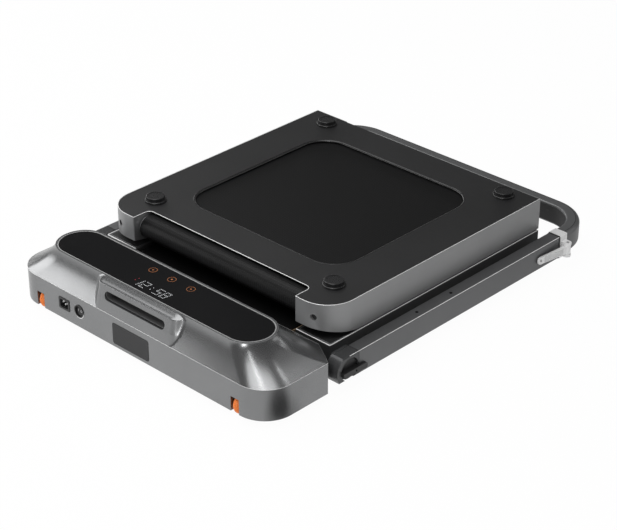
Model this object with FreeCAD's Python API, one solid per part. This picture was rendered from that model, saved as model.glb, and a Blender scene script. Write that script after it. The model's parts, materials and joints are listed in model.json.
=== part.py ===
"""Folding walking pad with a fold-down handrail, drawn folded, as it is stored.

Y runs from the motor head to the fold, X across the pad, Z up from the floor.  The pieces are drawn
with the head's front face at y = 0 and moved at the end, so that the origin lies on the floor below
the middle of the folded pad.  The rear deck is drawn face up, like the front deck, and then turned
over the fold line.
"""
import FreeCAD
import Part
import math
import os

V = FreeCAD.Vector

# Whole pad, folded
pad_length = 998.0

# Shared fits
cut_over = 6.0
run_gap = 0.3
pin_play = 0.05
touching = 1e-6
quarter_arc_share = 1 - math.sqrt(1 / 2)

# Motor head
head_inset = 2.5
head_clearance = 10.0
head_depth = 200.0
head_side_depth = 163.6
head_split_height = 77.0
head_top_height = 138.4
head_wall = 3.0
head_front_radius = 65.0
head_rear_cut = 60.0
head_rear_bulge_share = 0.1
flare_shares = (0.0, 0.2, 0.4, 0.6, 0.8, 1.0)
flare_power = 1.45
panel_seat = 2.5
rim_width = 3.4
rim_end_flat = 1.0

# Control panel
glass_from_side = 122.1
glass_radius = 48.4
glass_y = 81.4
glass_thick = 3.0
glass_sink = 0.8
trim_width = 2.2
trim_rise = 0.4
board_length = 150.0
board_width = 62.0
board_thick = 1.6
display_length = 106.0
display_width = 24.0
display_forward = 24.0

# Carry handle on the front of the head
boss_half = 98.0
boss_lean = 11.0
boss_edge_height = 131.0
boss_top_rise = 5.5
boss_edge_radius = 4.0
boss_corner_radius = 14.0
boss_fairing_radius = 8.0
boss_turn_degrees = 74.0
boss_back = 30.0
pocket_half = 85.0
pocket_height = 19.0
pocket_z = 111.0
pocket_front = 9.5
pocket_depth = 19.0
pocket_wall = 2.0

# Power inlet and switch in the front face
inlet_from_side = 153.5
inlet_z = 45.0
inlet_width = 32.0
inlet_height = 26.0
inlet_flange = 2.5
inlet_flange_thick = 1.5
inlet_depth = 24.0
inlet_wall = 1.8
inlet_cavity = 17.0
inlet_pin_length = 11.0
inlet_pin_width = 2.0
inlet_pin_height = 4.0
inlet_pin_spread = 7.0
inlet_pin_rise = 2.5
switch_from_inlet = 45.0
switch_z = 46.8
switch_radius = 13.6
switch_barrel_radius = 12.6
switch_hole_radius = 11.2
switch_flange_thick = 1.5
switch_depth = 16.0
rocker_radius = 10.2
rocker_thick = 7.0
rocker_front = 2.0
rocker_rest_degrees = 6.0
rocker_trunnion_radius = 1.5
rocker_trunnion_reach = 11.9

# Drive
motor_radius = 34.0
motor_length = 140.0
motor_from_pulley = 183.0
motor_y = 62.0
motor_z = 50.0
motor_bell_radius = 29.0
motor_bell_length = 12.0
motor_rib_depth = 1.6
motor_rib_width = 5.0
motor_rib_count = 7
motor_shaft_radius = 6.0
saddle_thick = 12.0
saddle_inset = 22.0
saddle_half_width = 30.0
motor_pulley_radius = 14.0
roller_pulley_radius = 29.0
pulley_width = 20.0
pulley_from_roller = 19.0
pulley_rim = 2.0
pulley_hub_radius = 19.0
drive_belt_thick = 2.2
drive_belt_width = 16.0
controller_length = 170.0
controller_width = 70.0
controller_height = 26.0
controller_place_share = 47 / 152
controller_y = 60.0
fin_height = 14.0
fin_thick = 2.4
fin_count = 9

# Transport wheels in the head's front corners
wheel_from_side = 79.5
wheel_y = 19.5
wheel_z = 23.0
wheel_radius = 21.5
wheel_width = 18.0
wheel_edge_radius = 5.0
wheel_hub_radius = 8.0
wheel_dish = 3.0
wheel_axle_radius = 4.0
wheel_slot_gap = 1.6
wheel_slot_height = 42.0
wheel_rib_thick = 4.0
wheel_rib_depth = 34.0
wheel_rib_height = 34.0

# Deck, the same for both halves
head_gap = 11.0
deck_width = 632.8
bar_past_fold = 153.5
deck_height = 68.7
deck_bottom = 6.6
fold_gap = 4.7
end_gap = 0.5
rail_width = 89.4
rail_wall = 3.0
rail_chamber = 16.8
rail_web = 2.5
rail_lip = 1.6
plate_thick = 2.0
window_side_gap = 8.0
window_from_head = 120.5
window_radius = 65.0
window_from_fold = 84.0
strip_width = 78.0
strip_thick = 1.6
strip_sink = 1.0
strip_end = 7.0
strip_radius = 3.0
strip_rib_pitch = 6.0
strip_rib_width = 2.4
strip_rib_depth = 0.5
strip_rib_margin = 5.0
belt_side_gap = 7.0
belt_thick = 1.8
belt_drop = 4.3
belt_return = 12.2
board_side_gap = 5.0
deck_board_thick = 15.0
beam_height = 20.0
beam_width = 40.0
beam_wall = 2.0
beam_first = 44.0
cushion_height = 6.0
cushion_radius = 16.0
cushion_from_rail = 47.0
foot_from_side = 65.4
foot_from_fold = 40.1
foot_from_head = 80.3
foot_length = 12.0
foot_radius = 19.6
foot_flange_radius = 22.6
foot_flange_thick = 4.6
foot_flange_edge = 2.0
foot_edge_radius = 1.5
foot_dish_radius = 15.0
foot_dish_depth = 0.6
head_foot_from_side = 141.5
head_foot_y = 80.0

# Frame tubes that carry the head and the front deck
tube_from_rail = 35.0
tube_width = 30.0
tube_wall = 2.5
tube_front = 48.0
tube_length = 400.0

# Front roller, inside the head
front_roller_y = 130.0
front_roller_radius = 24.0
roller_wall = 3.0
roller_end_gap = 3.0
bearing_width = 12.0
axle_radius = 7.5

# Rear end of the rear deck: cheeks, roller and belt tension
cheek_gap = 9.0
cheek_radius = 65.0
cheek_tip_radius = 3.0
cheek_wall = 15.0
cheek_slope_length = 80.0
cheek_slope_drop = 15.0
notch_depth = 44.0
notch_radius = 12.0
rear_roller_back = 34.0
rear_roller_radius = 22.0
rear_roller_z = 36.0
board_back = 84.0
bolt_from_side = 44.4
bolt_radius = 4.0
bolt_head_radius = 6.5
bolt_head_length = 5.0
bolt_head_sink = 7.0
bolt_tail = 10.0
axle_end = 10.0

# Fold hinge
hinge_pin_radius = 4.0
hinge_knuckle_radius = 7.0
hinge_from_side = 39.4
hinge_knuckle_width = 16.0
hinge_middle_width = 21.0
hinge_knuckle_gap = 0.5
hinge_leaf_length = 46.0
hinge_leaf_thick = 13.0
hinge_notch_gap = 1.0

# Handrail posts and their pivots
post_gap = 13.0
post_width = 29.6
post_height = 51.0
post_bottom = 17.3
post_wall = 2.5
post_edge_radius = 3.0
post_past_fold = 19.5
pivot_from_deck = 10.0
pivot_z = 38.5
pivot_pin_radius = 8.0
pivot_pin_reach = 12.0
knuckle_radius = 35.0
knuckle_length = 25.0
bracket_length = 50.0
bracket_bottom = 18.0
bracket_height = 42.0
bracket_gap = 0.5
bracket_radius = 10.0
knob_recess_radius = 24.0
knob_recess_depth = 8.0
knob_radius = 22.5
knob_disc_thick = 3.0
knob_bar_height = 12.0
knob_bar_drop = 5.5
knob_bar_rise = 6.0
knob_tab_reach = 43.0
knob_tab_radius = 5.0
knob_tab_gap = 0.6
knob_spindle_radius = 5.0
knob_spindle_length = 8.0
knob_eye_radius = 2.0
knob_eye_y = 12.0

# Telescopic grab bar, its clamps and levers
collar_length = 22.0
collar_wall = 1.2
slide_gap = 0.4
inner_wall = 2.0
inner_length = 246.0
bar_height = 47.0
bar_outer_radius = 9.0
bar_edge_radius = 5.0
bar_bend_radius = 85.0
bar_wall = 3.0
bar_plug = 14.0
liner_height = 37.0
liner_depth = 3.0
liner_proud = 0.4
ear_out = 14.0
ear_radius = 8.0
ear_thick = 5.0
ear_low_z = 25.5
ear_high_z = 57.5
ear_back = 8.0
lever_pin_radius = 3.0
lever_hub_radius = 7.0
lever_gap = 0.4
lever_reach = 86.0
lever_height = 16.5
lever_tip_radius = 7.0
lever_thick = 3.0
lever_root_thick = 8.0
lever_stand = 2.0
lever_eye_radius = 2.8

# Places that follow from the sizes above
fold_y = pad_length - bar_past_fold
deck_start = head_depth + head_gap
deck_length = fold_y - deck_start
deck_half = deck_width / 2
post_x = deck_half + post_gap
post_outer = post_x + post_width
head_half = post_outer - head_inset
deck_top = deck_bottom + deck_height
ground_z = deck_bottom - foot_length
hinge_z = deck_top + fold_gap / 2
rail_inner = deck_half - rail_width
belt_half = rail_inner - belt_side_gap
belt_width = 2 * belt_half
window_half_width = rail_inner - window_side_gap
cushion_x = rail_inner - cushion_from_rail
foot_x = deck_half - foot_from_side
bolt_x = deck_half - bolt_from_side
hinge_x = deck_half - hinge_from_side
tube_x = rail_inner + tube_from_rail
board_top = deck_top - belt_drop
beam_top = board_top - deck_board_thick - cushion_height
front_roller_z = board_top - front_roller_radius - run_gap
web_top = deck_top - rail_wall - rail_chamber
pan_floor = head_clearance + head_wall
tube_height = web_top - rail_web - pan_floor
cheek_y = head_depth + cheek_gap
notch_y = cheek_y + notch_depth
rear_roller_y = cheek_y + rear_roller_back
pivot_y = deck_start + pivot_from_deck
post_start = pivot_y + knuckle_length
post_end = fold_y + post_past_fold
post_top = post_bottom + post_height
collar_end = post_end + collar_length
bar_start = collar_end + run_gap
glass_half_straight = head_half - glass_from_side
glass_top = head_top_height - glass_sink
seat_top = glass_top - glass_thick
rim_radius = glass_radius + trim_width + rim_width
roller_half = rail_inner - roller_end_gap
pulley_x = roller_half + pulley_from_roller
motor_inner_x = pulley_x - motor_from_pulley
controller_room = motor_inner_x + tube_x - controller_length
controller_x = controller_room * controller_place_share - tube_x + controller_length / 2
wheel_x = head_half - wheel_from_side
head_foot_x = head_half - head_foot_from_side
inlet_x = inlet_from_side - head_half
switch_x = inlet_x + switch_from_inlet
middle_y = (pad_length + wheel_y - wheel_radius) / 2


def box(x0, x1, y0, y1, z0, z1):
    """Block between two corners."""
    return Part.makeBox(x1 - x0, y1 - y0, z1 - z0, V(x0, y0, z0))


def rod_x(x0, x1, y, z, radius):
    """Round bar along X."""
    return Part.makeCylinder(radius, x1 - x0, V(x0, y, z), V(1, 0, 0))


def rod_y(y0, y1, x, z, radius):
    """Round bar along Y."""
    return Part.makeCylinder(radius, y1 - y0, V(x, y0, z), V(0, 1, 0))


def rod_z(z0, z1, x, y, radius):
    """Round bar along Z."""
    return Part.makeCylinder(radius, z1 - z0, V(x, y, z0), V(0, 0, 1))


def corner_trim(before, here, after):
    """Start, middle and end of the arc that rounds one corner (a, b, radius)."""
    corner = V(here[0], here[1], 0)
    radius = here[2]
    if radius == 0:
        return corner, None, corner
    back = (V(before[0], before[1], 0) - corner).normalize()
    ahead = (V(after[0], after[1], 0) - corner).normalize()
    half = back.getAngle(ahead) / 2
    middle = (back + ahead).normalize()
    trim = radius / math.tan(half)
    rise = radius / math.sin(half) - radius
    return corner + back * trim, corner + middle * rise, corner + ahead * trim


def rounded_wire(points, place):
    """Closed wire through corners (a, b, radius), each rounded by its own radius."""
    count = len(points)
    trims = [corner_trim(points[i - 1], points[i], points[(i + 1) % count]) for i in range(count)]
    edges = []
    for i in range(count):
        start, middle, end = trims[i]
        if middle is not None:
            edges.append(Part.Arc(place(start), place(middle), place(end)).toShape())
        following = trims[(i + 1) % count][0]
        if end.distanceToPoint(following) > touching:
            edges.append(Part.LineSegment(place(end), place(following)).toShape())
    return Part.Wire(edges)


def prism_z(points, z0, z1):
    """Upright prism on a plan outline of (x, y, radius)."""
    wire = rounded_wire(points, lambda p: V(p.x, p.y, z0))
    return Part.Face(wire).extrude(V(0, 0, z1 - z0))


def prism_y(points, y0, y1):
    """Prism along Y on a front outline of (x, z, radius)."""
    wire = rounded_wire(points, lambda p: V(p.x, y0, p.y))
    return Part.Face(wire).extrude(V(0, y1 - y0, 0))


def prism_x(points, x0, x1):
    """Prism along X on a side outline of (y, z, radius)."""
    wire = rounded_wire(points, lambda p: V(x0, p.x, p.y))
    return Part.Face(wire).extrude(V(x1 - x0, 0, 0))


def rectangle(a0, a1, b0, b1, radius):
    """Corners of a rectangle with one corner radius."""
    return [(a0, b0, radius), (a1, b0, radius), (a1, b1, radius), (a0, b1, radius)]


def stadium_z(half, radius, y, z0, z1):
    """Upright prism with two half-round ends, along X."""
    ends = rod_z(z0, z1, -half, y, radius).fuse(rod_z(z0, z1, half, y, radius))
    return ends.fuse(box(-half, half, y - radius, y + radius, z0, z1)).removeSplitter()


def stadium_y(half, radius, z, y0, y1):
    """Prism along Y with two half-round ends."""
    ends = rod_y(y0, y1, -half, z, radius).fuse(rod_y(y0, y1, half, z, radius))
    return ends.fuse(box(-half, half, y0, y1, z - radius, z + radius)).removeSplitter()


def mirrored(shape):
    """The same piece on the left side."""
    return shape.mirror(V(0, 0, 0), V(1, 0, 0))


def both(shape):
    """A right-hand piece and its mirror image, as separate solids."""
    return Part.makeCompound([mirrored(shape), shape])


def flipped(shape):
    """A face-up rear deck piece turned over the fold line."""
    return shape.mirror(V(0, 0, hinge_z), V(0, 0, 1))


def save(name, shape):
    """Move a piece so that the origin lies on the floor under the middle of the pad, and write it."""
    placed = shape.copy()
    placed.translate(V(0, -middle_y, -ground_z))
    placed.exportStep("parts/" + name + ".step")


def blend(low, high, share):
    """Value part of the way from low to high."""
    return low + (high - low) * share


# Motor head

def head_corner(corner, start, end, bulge):
    """Arc across a corner: bulge 0 is nearly straight, 1 is a full quarter round."""
    quarter = corner + (start - corner) * quarter_arc_share + (end - corner) * quarter_arc_share
    chord = (start + end) / 2
    return Part.Arc(start, chord + (quarter - chord) * bulge, end).toShape()


def head_section(share, inset, z):
    """Outline of the head at one height: share 0 at the split line, 1 at the panel rim."""
    rim_cut = rim_radius - rim_end_flat
    half = blend(head_half, glass_half_straight + rim_radius, share) - inset
    front = blend(0, glass_y - rim_radius, share) + inset
    rear = blend(head_depth, glass_y + rim_radius, share) - inset
    front_cut = blend(head_front_radius, rim_cut, share) - inset
    rear_cut_x = blend(head_rear_cut, rim_cut, share) - inset
    rear_cut_y = blend(head_depth - head_side_depth, rim_cut, share) - inset
    bulge = blend(head_rear_bulge_share, 1, share)

    def side(sign):
        """Start, corner and end of the front arc on one side, then of the rear arc."""
        x = sign * half
        return (V(x - sign * front_cut, front, z), V(x, front, z), V(x, front + front_cut, z),
                V(x, rear - rear_cut_y, z), V(x, rear, z), V(x - sign * rear_cut_x, rear, z))

    right = side(1)
    left = side(-1)
    edges = [Part.LineSegment(left[0], right[0]).toShape()]
    for start, corner, end, rear_start, rear_corner, rear_end in (right, left):
        edges.append(head_corner(corner, start, end, 1))
        edges.append(Part.LineSegment(end, rear_start).toShape())
        edges.append(head_corner(rear_corner, rear_start, rear_end, bulge))
    edges.append(Part.LineSegment(right[-1], left[-1]).toShape())
    return Part.Wire(Part.__sortEdges__(edges))


def head_flare(inset, z0, z1):
    """Trumpet-shaped solid from the split line up to the panel rim."""
    wires = []
    for share in flare_shares:
        drawn_in = 1 - (1 - share) ** flare_power
        wires.append(head_section(drawn_in, inset, blend(z0, z1, share)))
    return Part.makeLoft(wires, True, False)


def carry_boss():
    """Raised block on the head's front that holds the carry handle."""
    turn = math.radians(boss_turn_degrees)
    sweep = boss_corner_radius + boss_fairing_radius
    split = head_split_height

    def along_arc(sign, radius, angle):
        return V(sign * radius * math.sin(angle), radius * (1 - math.cos(angle)), 0)

    def end_points(sign):
        """Points of the corner arc and of the fairing arc that leads back into the flare."""
        inner = V(sign * boss_half, 0, split)
        knee_middle = inner + along_arc(sign, boss_corner_radius, turn / 2)
        knee = inner + along_arc(sign, boss_corner_radius, turn)
        tail = inner + along_arc(sign, sweep, turn)
        tail_middle = tail - along_arc(sign, boss_fairing_radius, turn / 2)
        return inner, knee_middle, knee, tail_middle, tail

    right = end_points(1)
    left = end_points(-1)
    back = V(0, boss_back, 0)
    edges = [Part.LineSegment(left[0], right[0]).toShape(),
             Part.Arc(right[0], right[1], right[2]).toShape(),
             Part.Arc(right[2], right[3], right[4]).toShape(),
             Part.LineSegment(right[4], right[4] + back).toShape(),
             Part.LineSegment(right[4] + back, left[4] + back).toShape(),
             Part.LineSegment(left[4] + back, left[4]).toShape(),
             Part.Arc(left[4], left[3], left[2]).toShape(),
             Part.Arc(left[2], left[1], left[0]).toShape()]
    rise = head_top_height - split
    lean = boss_lean / (boss_edge_height - split)
    leaning = Part.Face(Part.Wire(edges)).extrude(V(0, lean * rise, rise))
    rim_front = glass_y - rim_radius
    rim_back = rim_front + rim_width
    boss_top = boss_edge_height + boss_top_rise
    side = [(0, split, 0), (boss_lean, boss_edge_height, boss_edge_radius), (rim_front, boss_top, 0),
            (rim_back, boss_top, 0), (rim_back, split, 0)]
    reach = boss_half + sweep
    return leaning.common(prism_x(side, -reach, reach))


def head_base_pan():
    outer = Part.Face(head_section(0, 0, head_clearance))
    inner = Part.Face(head_section(0, head_wall, pan_floor))
    pan = outer.extrude(V(0, 0, head_split_height - head_clearance))
    pan = pan.cut(inner.extrude(V(0, 0, head_split_height)))
    opening = tube_x + tube_width
    pan = pan.cut(box(-opening, opening, head_depth - head_wall - cut_over, head_depth + cut_over,
                      pan_floor, head_split_height + cut_over))
    rib_half = wheel_width / 2 + wheel_slot_gap
    for sign in (-1, 1):
        x = sign * wheel_x
        ribs = box(x - rib_half - wheel_rib_thick, x + rib_half + wheel_rib_thick, head_wall,
                   head_wall + wheel_rib_depth, pan_floor, pan_floor + wheel_rib_height)
        pan = pan.fuse(ribs)
        pan = pan.cut(box(x - rib_half, x + rib_half, -cut_over, wheel_y + wheel_radius + wheel_slot_gap,
                          0, wheel_slot_height))
        pan = pan.cut(box(x - rib_half, x + rib_half, head_wall, wheel_y + wheel_radius + wheel_slot_gap,
                          0, pan_floor + wheel_rib_height + cut_over))
        axle_half = rib_half + wheel_rib_thick
        pan = pan.cut(rod_x(x - axle_half, x + axle_half, wheel_y, wheel_z, wheel_axle_radius))
    for x in (motor_inner_x + saddle_inset, motor_inner_x + motor_length - saddle_inset):
        saddle = box(x - saddle_thick / 2, x + saddle_thick / 2, motor_y - saddle_half_width,
                     motor_y + saddle_half_width, pan_floor, motor_z - motor_radius / 2)
        seat = rod_x(x - saddle_thick, x + saddle_thick, motor_y, motor_z, motor_radius)
        pan = pan.fuse(saddle.cut(seat))
    body_half_x = inlet_width / 2 - inlet_flange
    body_half_z = inlet_height / 2 - inlet_flange
    pan = pan.cut(box(inlet_x - body_half_x, inlet_x + body_half_x, -cut_over, head_wall + cut_over,
                      inlet_z - body_half_z, inlet_z + body_half_z))
    pan = pan.cut(rod_y(-cut_over, head_wall + cut_over, switch_x, switch_z, switch_barrel_radius))
    save("head_base_pan", pan.removeSplitter())


def head_top_cover():
    cover = head_flare(0, head_split_height, head_top_height).fuse(carry_boss())
    cover = cover.cut(head_flare(head_wall, head_split_height, seat_top - panel_seat))
    cover = cover.cut(stadium_z(glass_half_straight, glass_radius + trim_width, glass_y, seat_top,
                                head_top_height + cut_over))
    display_y = glass_y - display_forward
    display_back = display_y + display_width / 2
    display_front = display_y - display_width / 2
    cover = cover.cut(box(-display_length / 2, display_length / 2, display_front, display_back,
                          seat_top - panel_seat - cut_over, seat_top + cut_over))
    straight = pocket_half - pocket_height / 2
    pocket_back = pocket_front + pocket_depth
    cover = cover.cut(stadium_y(straight, pocket_height / 2, pocket_z, -cut_over, pocket_back))
    save("head_top_cover", cover.removeSplitter())


def control_panel():
    glass = stadium_z(glass_half_straight, glass_radius, glass_y, seat_top, glass_top)
    save("control_glass", glass)
    trim_top = glass_top + trim_rise
    ring = stadium_z(glass_half_straight, glass_radius + trim_width, glass_y, seat_top, trim_top)
    hole = stadium_z(glass_half_straight, glass_radius, glass_y, seat_top - cut_over, glass_top + cut_over)
    save("panel_trim", ring.cut(hole))
    under = seat_top - panel_seat
    display_y = glass_y - display_forward
    board = box(-board_length / 2, board_length / 2, glass_y - board_width / 2 - display_width / 2,
                glass_y + board_width / 2, under - board_thick, under)
    screen = box(-display_length / 2, display_length / 2, display_y - display_width / 2,
                 display_y + display_width / 2, under, seat_top)
    save("display_board", board.fuse(screen))


def handle_pocket():
    straight = pocket_half - pocket_height / 2
    cup = stadium_y(straight, pocket_height / 2, pocket_z, pocket_front, pocket_front + pocket_depth)
    hollow = stadium_y(straight, pocket_height / 2 - pocket_wall, pocket_z, pocket_front - cut_over,
                       pocket_front + pocket_depth - pocket_wall)
    save("handle_pocket", cup.cut(hollow))


def power_inlet():
    half_x = inlet_width / 2
    half_z = inlet_height / 2
    face = rectangle(inlet_x - half_x, inlet_x + half_x, inlet_z - half_z, inlet_z + half_z, inlet_flange)
    inlet = prism_y(face, -inlet_flange_thick, 0)
    body_x = half_x - inlet_flange
    body_z = half_z - inlet_flange
    inlet = inlet.fuse(box(inlet_x - body_x, inlet_x + body_x, 0, inlet_depth,
                           inlet_z - body_z, inlet_z + body_z))
    hole_x = body_x - inlet_wall
    hole_z = body_z - inlet_wall
    inlet = inlet.cut(box(inlet_x - hole_x, inlet_x + hole_x, -cut_over, inlet_cavity,
                          inlet_z - hole_z, inlet_z + hole_z))
    for side, rise in ((-1, -1), (0, 1), (1, -1)):
        x = inlet_x + side * inlet_pin_spread
        z = inlet_z + rise * inlet_pin_rise
        inlet = inlet.fuse(box(x - inlet_pin_width / 2, x + inlet_pin_width / 2,
                               inlet_cavity - inlet_pin_length, inlet_cavity,
                               z - inlet_pin_height / 2, z + inlet_pin_height / 2))
    save("power_inlet", inlet.removeSplitter())


def power_switch():
    bezel = rod_y(-switch_flange_thick, 0, switch_x, switch_z, switch_radius)
    bezel = bezel.fuse(rod_y(0, switch_depth, switch_x, switch_z, switch_barrel_radius))
    hole_end = switch_depth - switch_flange_thick
    bezel = bezel.cut(rod_y(-cut_over, hole_end, switch_x, switch_z, switch_hole_radius))
    pivot_depth = rocker_front + rocker_thick / 2
    bezel = bezel.cut(rod_x(switch_x - switch_barrel_radius, switch_x + switch_barrel_radius, pivot_depth,
                            switch_z, rocker_trunnion_radius + pin_play))
    save("switch_bezel", bezel.removeSplitter())
    rocker = rod_y(rocker_front, rocker_front + rocker_thick, switch_x, switch_z, rocker_radius)
    reach = rocker_trunnion_reach
    rocker = rocker.fuse(rod_x(switch_x - reach, switch_x + reach, pivot_depth, switch_z,
                               rocker_trunnion_radius))
    rocker = rocker.removeSplitter()
    rocker.rotate(V(switch_x, pivot_depth, switch_z), V(1, 0, 0), -rocker_rest_degrees)
    save("power_rocker", rocker)


# Drive

def drive_motor():
    outer_x = motor_inner_x + motor_length
    motor = rod_x(motor_inner_x, outer_x, motor_y, motor_z, motor_radius)
    pitch = motor_length / (motor_rib_count + 1)
    for number in range(1, motor_rib_count + 1):
        x = motor_inner_x + number * pitch
        half = motor_rib_width / 2
        groove = rod_x(x - half, x + half, motor_y, motor_z, motor_radius + cut_over)
        core = rod_x(x - half, x + half, motor_y, motor_z, motor_radius - motor_rib_depth)
        motor = motor.cut(groove.cut(core))
    for x in (motor_inner_x - motor_bell_length, outer_x):
        motor = motor.fuse(rod_x(x, x + motor_bell_length, motor_y, motor_z, motor_bell_radius))
    bore = motor_shaft_radius + pin_play
    shaft_end = outer_x + motor_bell_length + cut_over
    motor = motor.cut(rod_x(outer_x - motor_length / 2, shaft_end, motor_y, motor_z, bore))
    save("drive_motor", motor)
    left = pulley_x - pulley_width / 2
    right = pulley_x + pulley_width / 2
    pulley = rod_x(left, right, motor_y, motor_z, motor_pulley_radius)
    flange_radius = motor_pulley_radius + drive_belt_thick
    for x in (left, right - pulley_rim):
        pulley = pulley.fuse(rod_x(x, x + pulley_rim, motor_y, motor_z, flange_radius))
    pulley = pulley.fuse(rod_x(outer_x - motor_length / 2, right, motor_y, motor_z, motor_shaft_radius))
    save("motor_pulley", pulley.removeSplitter())


def belt_face(first, first_radius, second, second_radius):
    """Face inside a band round two circles; places are (y, z), with the second circle at larger y."""
    gap = math.hypot(second[0] - first[0], second[1] - first[1])
    along = math.atan2(second[1] - first[1], second[0] - first[0])
    lift = math.acos((first_radius - second_radius) / gap)

    def at(centre, radius, angle):
        return V(pulley_x - drive_belt_width / 2, centre[0] + radius * math.cos(angle),
                 centre[1] + radius * math.sin(angle))

    high = along + lift
    low = along - lift
    edges = [Part.LineSegment(at(first, first_radius, high), at(second, second_radius, high)).toShape(),
             Part.Arc(at(second, second_radius, high), at(second, second_radius, along),
                      at(second, second_radius, low)).toShape(),
             Part.LineSegment(at(second, second_radius, low), at(first, first_radius, low)).toShape(),
             Part.Arc(at(first, first_radius, low), at(first, first_radius, along + math.pi),
                      at(first, first_radius, high)).toShape()]
    return Part.Face(Part.Wire(edges))


def drive_belt():
    motor_place = (motor_y, motor_z)
    roller_place = (front_roller_y, front_roller_z)
    slack = run_gap
    inner = belt_face(motor_place, motor_pulley_radius + slack, roller_place, roller_pulley_radius + slack)
    slack = run_gap + drive_belt_thick
    outer = belt_face(motor_place, motor_pulley_radius + slack, roller_place, roller_pulley_radius + slack)
    along = V(drive_belt_width, 0, 0)
    save("drive_belt", outer.extrude(along).cut(inner.extrude(along)))


def motor_controller():
    x0 = controller_x - controller_length / 2
    y0 = controller_y - controller_width / 2
    top = pan_floor + controller_height
    controller = box(x0, x0 + controller_length, y0, y0 + controller_width, pan_floor, top)
    pitch = (controller_width - fin_thick) / (fin_count - 1)
    for number in range(fin_count):
        y = y0 + number * pitch
        fin = box(x0, x0 + controller_length, y, y + fin_thick, top, top + fin_height)
        controller = controller.fuse(fin)
    save("motor_controller", controller.removeSplitter())


def transport_wheels():
    axles = []
    rib_half = wheel_width / 2 + wheel_slot_gap
    for side, sign in (("left", -1), ("right", 1)):
        x = sign * wheel_x
        wheel = rod_x(x - wheel_width / 2, x + wheel_width / 2, wheel_y, wheel_z, wheel_radius)
        rims = [edge for edge in wheel.Edges if len(edge.Vertexes) == 1]
        wheel = wheel.makeFillet(wheel_edge_radius, rims)
        for face_x, turn in ((x - wheel_width / 2, 1), (x + wheel_width / 2, -1)):
            start, end = sorted((face_x - turn * cut_over, face_x + turn * wheel_dish))
            dish = rod_x(start, end, wheel_y, wheel_z, wheel_radius - 2 * wheel_edge_radius)
            wheel = wheel.cut(dish.cut(rod_x(start, end, wheel_y, wheel_z, wheel_hub_radius)))
        bore = wheel_axle_radius + pin_play
        wheel = wheel.cut(rod_x(x - wheel_width, x + wheel_width, wheel_y, wheel_z, bore))
        save("wheel_" + side, wheel)
        reach = rib_half + wheel_rib_thick
        axles.append(rod_x(x - reach, x + reach, wheel_y, wheel_z, wheel_axle_radius))
    save("wheel_axles", Part.makeCompound(axles))


# Deck halves, drawn face up

def rail_side(front_y, slope_length, slope_drop, inset):
    """Side outline (y, z) of a rail, drawn in by an inset; the top slopes down over its front length."""
    bottom = deck_bottom + (plate_thick if inset else 0) + inset
    top = deck_top - inset
    end = fold_y - end_gap - inset
    start = front_y + inset
    if slope_length == 0:
        return rectangle(start, end, bottom, top, 0)
    return [(start, bottom, 0), (end, bottom, 0), (end, top, 0), (front_y + slope_length, top, 0),
            (start, top - slope_drop, 0)]


def rail(front_y, front_wall, corner_radius, slope_length, slope_drop):
    """Hollow side rail on the right, with a seat for the bottom plate and a groove for the foot strip."""
    tip = min(cheek_tip_radius, corner_radius)
    end = fold_y - end_gap

    def plan(inner, outer, start, stop, inner_radius, outer_radius):
        return [(inner, start, inner_radius), (outer, start, outer_radius),
                (outer, stop, 0), (inner, stop, 0)]

    solid = prism_z(plan(rail_inner, deck_half, front_y, end, tip, corner_radius), deck_bottom, deck_top)
    outline = rail_side(front_y, slope_length, slope_drop, 0)
    solid = solid.common(prism_x(outline, rail_inner, deck_half))
    inside = plan(rail_inner + rail_wall, deck_half - rail_wall, front_y + front_wall, end - rail_wall,
                  0, max(corner_radius - front_wall, 0))
    hollow = prism_z(inside, deck_bottom, deck_top)
    outline = rail_side(front_y, slope_length, slope_drop, rail_wall)
    hollow = hollow.common(prism_x(outline, rail_inner, deck_half))
    web = box(rail_inner, deck_half, front_y + slope_length, end + cut_over, web_top - rail_web, web_top)
    solid = solid.cut(hollow.cut(web))
    seat = plan(rail_inner - cut_over, deck_half - rail_lip, front_y + rail_lip, end - rail_lip,
                0, max(corner_radius - rail_lip, 0))
    return solid.cut(prism_z(seat, deck_bottom - cut_over, deck_bottom + plate_thick))


def strip_plan(front_y):
    """Plan outline of a foot strip on the right-hand rail."""
    middle = (rail_inner + deck_half) / 2
    return rectangle(middle - strip_width / 2, middle + strip_width / 2, front_y + strip_end,
                     fold_y - hinge_knuckle_radius - hinge_notch_gap - strip_end, strip_radius)


def foot_strip(front_y):
    """Grooved foot strip let into the top of the right-hand rail."""
    base = deck_top - strip_sink
    strip = prism_z(strip_plan(front_y), base, base + strip_thick)
    middle = (rail_inner + deck_half) / 2
    reach = strip_width / 2 - strip_rib_margin
    count = int(2 * reach / strip_rib_pitch)
    start = front_y + strip_end + strip_rib_margin
    end = fold_y - hinge_knuckle_radius - hinge_notch_gap - strip_end - strip_rib_margin
    grooves = []
    for number in range(count + 1):
        x = middle + (number - count / 2) * strip_rib_pitch
        grooves.append(box(x - strip_rib_width / 2, x + strip_rib_width / 2, start, end,
                           base + strip_thick - strip_rib_depth, base + strip_thick + cut_over))
    return strip.cut(Part.makeCompound(grooves))


def hinge_notch():
    """Room for the hinge knuckles in the top of a right-hand rail."""
    half = hinge_knuckle_width + hinge_middle_width / 2 + hinge_knuckle_gap + hinge_notch_gap
    start = fold_y - hinge_knuckle_radius - hinge_notch_gap
    return box(hinge_x - half, hinge_x + half, start, fold_y + cut_over, web_top, deck_top + cut_over)


def window_plan():
    """Plan outline of the window in a bottom plate."""
    far = fold_y - window_from_fold
    near = deck_start + window_from_head
    return rectangle(-window_half_width, window_half_width, near, far, window_radius)


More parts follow.
